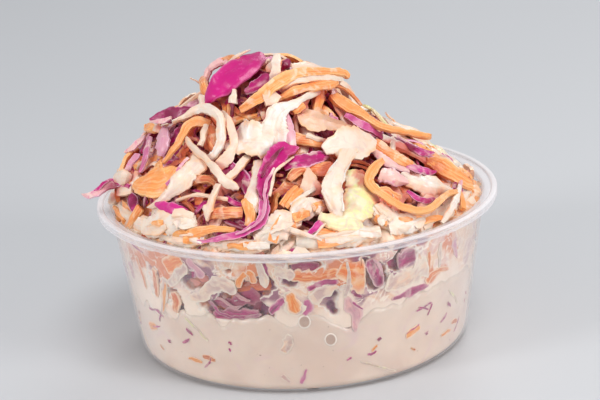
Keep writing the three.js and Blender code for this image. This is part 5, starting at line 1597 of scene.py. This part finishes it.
# %% The strips drawn behind the wall
WALL_PIECES = [
    # kind, tone, how much less it is pressed in than the first ones, thickness, [(x, y, width), ...]
    (WHITE, 0.3, 0, 1.2, [(-32.5, -28.5, 1.2), (-30.7, -28.6, 3.9), (-28.2, -28, 3.4), (-26.7, -26, 3),
        (-24.4, -24.7, 4.6), (-21.7, -25.1, 4.4), (-20, -26.3, 3.8), (-18.7, -26.9, 2.2)]),
    (CARROT, 0.4, 0.13, 1, [(-18.5, -25.6, 1.8), (-17.3, -22.9, 1.9), (-15.9, -21.3, 2.2)]),
    (CARROT, 0.5, 0.15, 1, [(-16, -21.1, 1.8), (-14.4, -22, 2.1), (-13.4, -24.2, 2.2)]),
    (WHITE, 0.3, 0.02, 0.8, [(-39.6, -22.8, 2.8), (-39.9, -26.4, 2.9), (-40, -30, 2.5),
        (-40.1, -33.8, 1.5)]),
    (CARROT, 0.3, 0, 0.8, [(-39.4, -24.1, 1.2), (-39.6, -26.7, 1.3), (-39.8, -30.2, 1.2),
        (-40, -32.9, 0.7)]),
    (CARROT, 0.5, 0.11, 0.8, [(-39.6, -19.7, 5.2), (-37.3, -18.6, 5), (-34.7, -17.6, 2.4)]),
    (WHITE, 0.2, 0.04, 0.9, [(-38.2, -25, 2.6), (-35.7, -22, 2.8), (-33.3, -19.2, 2.8)]),
    (RED, 0.93, 0.11, 0.8, [(-33.2, -17.3, 2.1), (-30.8, -19.8, 2.3), (-28.3, -22.6, 2.7)]),
    (WHITE, 0.15, 0.02, 1, [(-12.2, -18, 1.5), (-11.5, -20.7, 1.9), (-10.6, -23.8, 2.5),
        (-10.1, -25.8, 1.2)]),
    (RED, 0.15, 0.13, 0.7, [(-10.6, -18.2, 1), (-10, -20.4, 1), (-9.5, -22.6, 1.1)]),
    (WHITE, 0.3, 0.02, 1.2, [(-7.5, -20.9, 2.9), (-4.6, -21.4, 4), (-2.3, -21.9, 3.2), (-1.5, -22, 1.2)]),
    (CARROT, 0.3, 0.03, 1, [(-3.4, -27.2, 1.7), (-2.4, -29.4, 3.6), (-1.3, -31.9, 3.9), (-0.6, -33.2, 1.9)]),
    (WHITE, 0.3, 0.07, 1, [(-3.6, -26.7, 2.1), (-2.6, -29.4, 4.7), (-1.1, -32.2, 5), (-0.3, -33.8, 2.6)]),
    (RED, 0.45, 0.08, 0.8, [(2.1, -26.3, 1.5), (4.7, -25.2, 2), (7.6, -24, 1.9), (11.2, -24.1, 1.5)]),
    (WHITE, 0.5, 0.03, 0.9, [(2.9, -29.5, 4), (6.2, -27.5, 3.7), (9, -26.3, 2.5), (11.6, -25.5, 0.8)]),
    (RED, 0.55, 0.09, 0.8, [(-8.8, -33.2, 1.7), (-6.5, -30.8, 2.2), (-4.4, -29, 2)]),
    (RED, 0.8, 0.11, 0.8, [(1.6, -29.2, 1.5), (2.2, -31.4, 2.6), (0.9, -33.6, 1.8)]),
    (CARROT, 0.7, 0.17, 0.8, [(-2.6, -22.3, 3.5), (1.6, -22.8, 3.8), (5.9, -22.6, 2.9), (11.5, -20.9, 4.1)]),
    (CARROT, 0.5, 0.09, 1, [(11.3, -20, 4.7), (14.4, -21, 8.4), (17.3, -21.7, 10), (19.1, -21.4, 8)]),
    (WHITE, 0.2, 0.02, 0.8, [(13.7, -18.2, 1), (14.5, -21.7, 1), (14, -25.4, 1.4), (13.2, -28.6, 1.3)]),
    (WHITE, 0.2, 0.03, 0.8, [(11.7, -25.8, 1.4), (13.5, -25.6, 1.7), (15.4, -24.7, 1.1)]),
    (RED, 0.4, 0.02, 0.8, [(26.9, -29.3, 1.1), (30.1, -28, 2), (32.7, -26.9, 3.5), (35.7, -25.7, 2.6),
        (37.6, -25, 0.9)]),
    (CARROT, 0.75, 0.05, 0.8, [(36.9, -24.2, 1.9), (39.1, -21.5, 2), (41.6, -20.3, 1.8),
        (43.6, -20.4, 1.1)]),
    (CARROT, 0.7, 0.08, 0.7, [(37.8, -14.8, 1.3), (37.9, -18.2, 1.5), (37.7, -21.4, 0.9)]),
    (WHITE, 0.15, 0.02, 0.8, [(41.1, -12.6, 1.8), (41, -16, 1.3), (41, -19.4, 0.9)]),
    (RED, 0.9, 0.11, 0.8, [(45.1, -11.6, 2.6), (45.4, -14.4, 2.1), (46, -16.9, 0.9)]),
    (RED, 0.3, 0.3, 0.8, [(20.3, -17.3, 2.5), (21.1, -20, 3.3), (22.6, -22.8, 3.6), (23.8, -25.3, 2.6)]),
    (RED, 0.9, 0.1, 0.5, [(21.7, -17.6, 0.7), (23.5, -19.4, 0.9), (24.4, -22.3, 0.7)]),
    (WHITE, 0.3, 0.02, 1, [(25.3, -24.1, 5.9), (28.3, -24.4, 5.9), (31.9, -22.6, 5.3), (35.2, -20.1, 7),
        (37.3, -18.2, 7)]),
    (RED, 0.35, 0.35, 0.8, [(28.6, -18.2, 4.8), (31.1, -17.3, 5.3), (33.9, -16, 4.4)]),
    (RED, 0.2, 0.05, 0.7, [(15.1, -26.6, 1.5), (16.6, -27.8, 1.5), (18.4, -28.5, 0.6)]),
    (RED, 0.5, 0, 0.6, [(15.3, -29.8, 0.8), (16.6, -31, 0.7), (18.4, -32, 0.6)]),
    (RED, 0.97, 0, 0.6, [(13.7, -28.6, 2), (15.3, -31.7, 3.5), (16.4, -34.5, 3.5), (16.2, -38.8, 1.1)]),
    (RED, 0.95, 0.05, 0.7, [(-50.2, -18.2, 2.3), (-49.3, -20.9, 2.9), (-48.6, -22.9, 2)]),
    (CARROT, 0.7, 0.08, 0.7, [(-48, -16.3, 2), (-47, -19.7, 1.8), (-45.8, -22.9, 1.8), (-45.1, -26.1, 1.4)]),
    (RED, 0.5, 0.02, 0.6, [(-49.8, -12.5, 0.9), (-48, -14, 1), (-46.4, -15.3, 0.6)]),
    (CARROT, 0.85, 0.09, 0.8, [(-43, -20, 2), (-42.4, -23.8, 2), (-42, -28.3, 1.8)]),
    (CARROT, 0.9, 0.22, 0.8, [(-37.3, -26.9, 2.9), (-36.4, -29.7, 4.1), (-36.6, -33, 2.6)]),
    (RED, 0.5, 0.8, 0.8, [(-25.4, -33.3, 2.6), (-21.9, -33.6, 3.2), (-18.1, -33.8, 3.5), (-14.7, -34.2, 3.2),
        (-11.9, -34.8, 3.9)]),
    (RED, 0.9, 0.8, 0.8, [(-27.8, -32.6, 2.3), (-25.4, -34.4, 2.9), (-23.2, -36.9, 2.1), (-18.2, -37.3, 1.8),
        (-15, -36.7, 1.8)]),
    (RED, 0.8, 1.4, 0.8, [(-27, -29.7, 2.9), (-23.9, -29.5, 4.4), (-20.1, -30, 3.5), (-16.2, -28.8, 4.7),
        (-12.3, -27, 4.9)]),
    (RED, 0.05, 2.2, 0.8, [(-16.7, -27, 5), (-13.5, -27.2, 7.9), (-10.4, -27.3, 5.9)]),
    (RED, 0.55, 0.5, 0.5, [(-26.5, -29.6, 0.5), (-25.3, -31, 1), (-23.4, -33.2, 1), (-20, -34.3, 0.9),
        (-15, -34.4, 1), (-11.5, -33.6, 0.7)]),
    (RED, 0.98, 0.6, 0.4, [(-25.6, -28.4, 0.6), (-22.4, -29.6, 1), (-19.5, -31.6, 0.9), (-17, -31.2, 0.7)]),
    (RED, 0.97, 0.6, 0.4, [(-20.5, -26.8, 0.8), (-17.6, -28.6, 1.1), (-14.6, -29.8, 0.7)]),
    (RED, 0.3, 1, 0.8, [(-2.8, -19.8, 2.6), (0.4, -19.5, 3.2), (3.5, -19.5, 3.2), (5.7, -19.4, 2.3)]),
]
print(len(WALL_PIECES), "strips behind the wall")

# %% The bits in the dressing
BITS = [
    # kind, tone, [(x, y, width), ...], all of them just touching the plastic
    (RED, 0.3, [(-42.7, -31.9, 0.4), (-41.2, -33.4, 0.6), (-40, -34.6, 0.4)]),
    (RED, 0.6, [(-43.3, -37.2, 0.4), (-42.3, -37.2, 0.6), (-41.1, -37.1, 0.3)]),
    (RED, 0.3, [(-33.5, -37.6, 0.6), (-32.5, -38.8, 1), (-31.5, -39.9, 0.5)]),
    (RED, 0.3, [(-38.6, -41.1, 1), (-38.3, -42, 0.9)]),
    (RED, 0.5, [(-34.4, -42, 0.7), (-33.3, -41.5, 0.8), (-32.5, -40.9, 0.5)]),
    (WHITE, 0.95, [(-34.1, -34.2, 0.6), (-30.5, -37.9, 0.7), (-27.2, -41.5, 0.5)]),
    (RED, 0.3, [(-21.1, -42, 0.7), (-20.5, -42, 0.6), (-20.1, -42.6, 0.5)]),
    (RED, 0.6, [(-20.9, -43.6, 0.6), (-20.6, -44.5, 0.6)]),
    (WHITE, 0.8, [(-2.9, -39.6, 1.1), (-3.7, -42.1, 2), (-5.1, -44.8, 1.5)]),
    (WHITE, 0.8, [(-5.4, -51.5, 0.9), (-4, -52.7, 0.9), (-2.8, -53.6, 0.4)]),
    (CARROT, 0.3, [(-32.9, -46.4, 0.8), (-30.8, -47, 1.1), (-28.5, -47.6, 0.7)]),
    (CARROT, 0.97, [(-28.9, -45.8, 0.8), (-27, -46.3, 1.3), (-24.9, -47.4, 0.9)]),
    (RED, 0.35, [(34.2, -32.8, 0.4), (36.9, -31.1, 0.6), (38.8, -30.1, 0.5)]),
    (RED, 0.35, [(38.9, -30.2, 0.7), (38.2, -32.1, 0.6), (37.5, -33.8, 0.4)]),
    (CARROT, 0.2, [(31.1, -39.9, 1.4), (33.3, -38.6, 1.9), (35.4, -37.1, 1.3)]),
    (RED, 0.35, [(45.3, -38.6, 0.4), (46.2, -36.3, 0.5), (46.8, -34.1, 0.4)]),
    (CARROT, 0.3, [(21.1, -44.3, 0.9), (22.9, -42.6, 0.7)]),
    (RED, 0.4, [(19.8, -45.6, 0.7), (21.5, -45.1, 0.7), (22.6, -44.3, 0.5)]),
    (RED, 0.15, [(22.8, -41.4, 0.7), (23.8, -40.4, 0.7)]),
    (RED, 0.5, [(13.7, -47.1, 0.6), (15.3, -46.3, 0.6)]),
    (RED, 0.8, [(0.2, -53.9, 0.7), (1.2, -51.8, 0.8), (2.1, -49.7, 0.6)]),
    (WHITE, 0.95, [(17.9, -47.6, 0.5), (22.9, -48.9, 0.6), (28.2, -50.3, 0.4)]),
    (CARROT, 0.97, [(-41.1, -42.6, 0.5), (-40, -44, 0.5)]),
]
print(len(BITS), "bits in the dressing")

# %% Drawn strips against the wall
AGAINST_PLASTIC = 1.3
BITS_THICKNESS, BITS_WIDER = 0.4, 1.35
BITS_TURNED = (0, 95, 175, 262)


def wall_strip(kind, tone, inset, thickness, path, turn=0.0):
    stations = stations_on(path, 1.5, 11, 31)
    x, y, width = smooth_line(path, stations).T
    reach = PRESSED_IN - inset
    # Painted shade: strips set further in from the wall are darker and warmer, and red ones a little even
    # against it.
    deep = min(0.55, (0.2 if kind is RED else 0) + max(0, inset - 0.3) * 0.4)
    line, _ = meet(x, y, 0 * x, lambda p: over_wall(p, WALL - reach - 0.2 + thickness / 2), turn)
    facing = unit(line * np.array([1, 1, 0]))
    rng = np.random.default_rng(int(100 + 10 * abs(path[0][0])))
    edges = ragged_edges(rng, 1, stations, 0.34, max(6, stations // 2), (0.4, 0.8))
    rise = creased(rng, np.linspace(-1, 1, 5), stations, width[:, None] * 0.4, 0.1)
    points, ring_u = sweep(line[None], facing[None], width[None], np.array([thickness]), edges, rise)
    points = press_into_tub(roughen(points, 3, 0.12, 70), reach)
    tones = uneven_tone(rng, np.array([tone]), stations)
    mesh = shred_mesh(points, ring_u, tones, np.full((1, stations), deep), np.array([AGAINST_PLASTIC]))
    return kind, mesh


on_wall = [wall_strip(*entry) for entry in WALL_PIECES]
for turn in BITS_TURNED:
    for kind, tone, path in BITS:
        wider = [(x, y, BITS_WIDER * width) for x, y, width in path]
        on_wall.append(wall_strip(kind, tone, 0.1, BITS_THICKNESS, wider, math.radians(turn)))
print(len(on_wall), "strips on the wall")

# %% [markdown]
# Two bubbles of air are caught between the dressing and the plastic. Each is a thin round lens that
# shows the greyer dressing behind it, with a painted highlight line round its edge.

# %% Air bubbles
BUBBLES = [(1.3, -35.8, 1.9), (9, -41, 1.8)]
BUBBLE_RINGS, BUBBLE_SEGMENTS = 7, 32


def joined(parts):
    """Several meshes as one: points, faces and attributes."""
    points, faces, attributes, start = [], [], {}, 0
    for p, f, a in parts:
        points.append(p)
        faces += [[i + start for i in face] for face in f]
        for key, values in a.items():
            attributes.setdefault(key, []).append(values)
        start += len(p)
    return np.concatenate(points), faces, {key: np.concatenate(v) for key, v in attributes.items()}


def bubble_finish():
    recipe = Recipe("air bubble")
    colour = recipe.blend(recipe.noise(2.5, 2, 1.0), srgb(206, 178, 158), srgb(176, 146, 132))
    # Painted highlight: a bright line round each bubble's edge.
    colour = recipe.blend(recipe.spread(recipe.attribute("round"), 0.7, 0.9), colour, srgb(250, 236, 222))
    return recipe.finish(colour, 0.15)


def bubble(x, y, radius):
    share, angle = np.meshgrid(np.linspace(0.02, 1, BUBBLE_RINGS), circle(BUBBLE_SEGMENTS))
    across = (x + radius * share * np.cos(angle)).ravel()
    up = (y + 1.05 * radius * share * np.sin(angle)).ravel()
    front, _ = meet(across, up, 0 * up, lambda p: over_wall(p, WALL - 0.15))
    front = front.reshape(BUBBLE_SEGMENTS, BUBBLE_RINGS, 3)
    back = front * (1 - 0.012 * (1 - share ** 2) - 0.002)[..., None] * [1, 1, 0] + front * [0, 0, 1]
    points = np.concatenate([front, back[:, ::-1]], axis=1)
    at = np.arange(BUBBLE_SEGMENTS * 2 * BUBBLE_RINGS).reshape(BUBBLE_SEGMENTS, 2 * BUBBLE_RINGS)
    beside = np.roll(at, -1, axis=0)
    faces = np.stack([at[:, :-1], beside[:, :-1], beside[:, 1:], at[:, 1:]], axis=-1).reshape(-1, 4).tolist()
    faces += [at[::-1, 0].tolist(), at[:, -1].tolist()]
    return points.reshape(-1, 3), faces, {"round": np.concatenate([share, share[:, ::-1]], axis=1).ravel()}


make_piece("air_bubbles", *joined([bubble(*entry) for entry in BUBBLES]), bubble_finish(), "dressing")

# %% [markdown]
# Between the drawn strips and round the rest of the tub, the slaw behind the plastic is laid by
# chance. Each shred runs along the wall, some way in from it, and bends up or down. In front they
# lie deeper, so that the drawn strips stay in view.

# %% Random shreds against the wall
WALL_STATIONS = 11
LOWEST_OVER_DRESSING, LOWEST_UNDER_RIM = 1.0, 2.5
STEEPNESS = 0.7
FRONT_INWARD = 2.2


def wall_shreds(seed, count, length, width, thickness, depth, tones, columns=4, cup=0.3, ruffle=0.2):
    rng = np.random.default_rng(seed)
    angle = 2 * math.pi * (np.arange(count) + rng.uniform(0, 1, count)) / count
    dressing_edge = dressing_at_wall(angle)
    lowest = dressing_edge - LOWEST_OVER_DRESSING
    middle = lowest + rng.uniform(0, 1, count) * (TUB_HEIGHT - LOWEST_UNDER_RIM - lowest)
    tilt = rng.normal(0, STEEPNESS, count)
    span = rng.uniform(*length, count)[:, None]
    turn = rng.normal(0, 0.8, count)
    s = np.linspace(-0.5, 0.5, WALL_STATIONS)
    bend = tilt[:, None] + turn[:, None] * s
    z = middle[:, None] + np.cumsum(np.sin(bend), axis=1) * span / WALL_STATIONS
    z = z - z.mean(axis=1, keepdims=True) + middle[:, None]
    z = np.clip(z, dressing_edge[:, None] - 3, TUB_HEIGHT - 1.8)
    inward = rng.uniform(*depth, count)[:, None] + rng.uniform(0, 1.5, (count, 1)) * (2 * s) ** 2
    from_front = np.abs((angle + math.pi / 2 + math.pi) % (2 * math.pi) - math.pi)
    inward = inward + FRONT_INWARD * np.clip((FRONT_HALF - from_front) / 0.2, 0, 1)[:, None]
    radius = wall_radius(z, WALL) - inward
    along = angle[:, None] + np.cumsum(np.cos(bend), axis=1) * span / WALL_STATIONS / radius
    lines, facing = around(radius, along, z), around(1.0, along, 0 * along)
    points, ring_u, tone = random_strips(rng, lines, facing, 0.25, tones, width, columns, cup, ruffle,
                                         thickness, 0.3)
    points = press_into_tub(roughen(points, 6, 0.3, seed))
    # Painted shade: shreds further in from the wall are darker and warmer.
    deep = np.repeat(np.clip(inward.mean(axis=1) / 5, 0, 1)[:, None], WALL_STATIONS, axis=1)
    tone = uneven_tone(rng, tone, WALL_STATIONS)
    return shred_mesh(points, ring_u, tone, deep, rng.uniform(0.2, 0.8, count))


print("in front they lie", FRONT_INWARD, "mm deeper")

# %% All shreds of the heap
def drawn_of(kind, source):
    """The meshes of one vegetable among the drawn strips."""
    return [entry[1] for entry in source if entry[0] is kind]


PALE = (0, 0.85)
white_parts = drawn_of(WHITE, drawn) + [
    heap_shreds(101, 170, (9, 26), (1.0, 2.6), (0.5, 0.9), (-3.5, -0.6), tones=PALE),
    heap_shreds(102, 60, (9, 17), (4, 8), (0.5, 0.8), (-3.5, -1.4), twist=0.35, columns=5, cup=0.7,
                ruffle=0.5, tones=PALE),
    heap_shreds(103, 50, (6, 12), (3, 6), (0.8, 1.4), (-2.5, -0.6), columns=5, cup=0.5, ruffle=0.5, high=0.3,
                tones=(0, 0.4)),
    heap_shreds(104, 45, (9, 22), (1.2, 2.8), (0.6, 1.0), (-2.5, 0.2), low=0.0, high=0.2, tones=(0, 0.5)),
    heap_shreds(107, 60, (7, 17), (0.5, 0.9), (0.4, 0.6), (-1.0, 1.0), ragged=0.2, high=0.8, tones=(0, 0.4)),
    heap_shreds(108, 12, (8, 16), (2, 4), (0.5, 0.8), (-2.5, -0.6), columns=5, cup=0.6, ruffle=0.4,
                tones=(0.93, 1)),
]
red_parts = drawn_of(RED, drawn) + [
    heap_shreds(201, 300, (8, 24), (1.0, 3.0), (0.5, 0.9), (-4.5, -0.8), tones=(0, 0.75)),
    heap_shreds(202, 90, (7, 14), (4, 8), (0.5, 0.8), (-4.5, -1.5), twist=0.35, columns=5, cup=0.9,
                ruffle=0.6, tones=(0, 0.6)),
    heap_shreds(204, 50, (8, 18), (0.8, 2.0), (0.4, 0.7), (-1.5, 0.4), tones=(0.4, 1)),
    heap_shreds(205, 40, (5, 14), (0.5, 1.0), (0.3, 0.5), (-1.0, 0.8), high=0.85, tones=(0.1, 0.9)),
]
carrot_parts = drawn_of(CARROT, drawn) + [
    heap_shreds(301, 240, (9, 26), (1.2, 2.6), (0.8, 1.4), (-4.5, -0.4), cup=0.1, ruffle=0.1, curl=0.6,
                ragged=0.2, tones=PALE),
    heap_shreds(302, 60, (6, 12), (3.5, 6), (0.9, 1.4), (-4.0, -1.0), columns=5, cup=0.2, tones=PALE),
    heap_shreds(304, 30, (5, 13), (0.7, 1.2), (0.5, 0.8), (-1.0, 0.8), ragged=0.2, high=0.85, tones=(0, 0.5)),
]
sink_into_heap(white_parts + red_parts + carrot_parts)
print(len(white_parts + red_parts + carrot_parts), "sets of shreds on the heap")

# %% All strips against the wall
white_parts += drawn_of(WHITE, on_wall) + [
    wall_shreds(105, 80, (10, 24), (2.0, 4.5), (0.9, 1.5), (0.0, 2.5), PALE),
    wall_shreds(106, 40, (9, 15), (5, 8), (0.8, 1.2), (0.3, 2.0), PALE, columns=6, cup=0.8, ruffle=0.7),
]
red_parts += drawn_of(RED, on_wall) + [
    wall_shreds(203, 60, (8, 20), (2.0, 4.5), (0.9, 1.4), (0.0, 2.2), (0.2, 0.95)),
]
carrot_parts += drawn_of(CARROT, on_wall) + [
    wall_shreds(303, 70, (8, 20), (2.0, 4.0), (1.2, 1.8), (0.0, 2.2), (0.3, 0.9)),
]
print([len(parts) for parts in (white_parts, red_parts, carrot_parts)], "sets in each vegetable")

# %% White cabbage, red cabbage and carrot in the tub
CUT_EDGE = 28
make_piece("white_cabbage", *joined(white_parts), WHITE, "slaw", crisp=CUT_EDGE)
make_piece("red_cabbage", *joined(red_parts), RED, "slaw", crisp=CUT_EDGE)
make_piece("carrot", *joined(carrot_parts), CARROT, "slaw", crisp=CUT_EDGE)
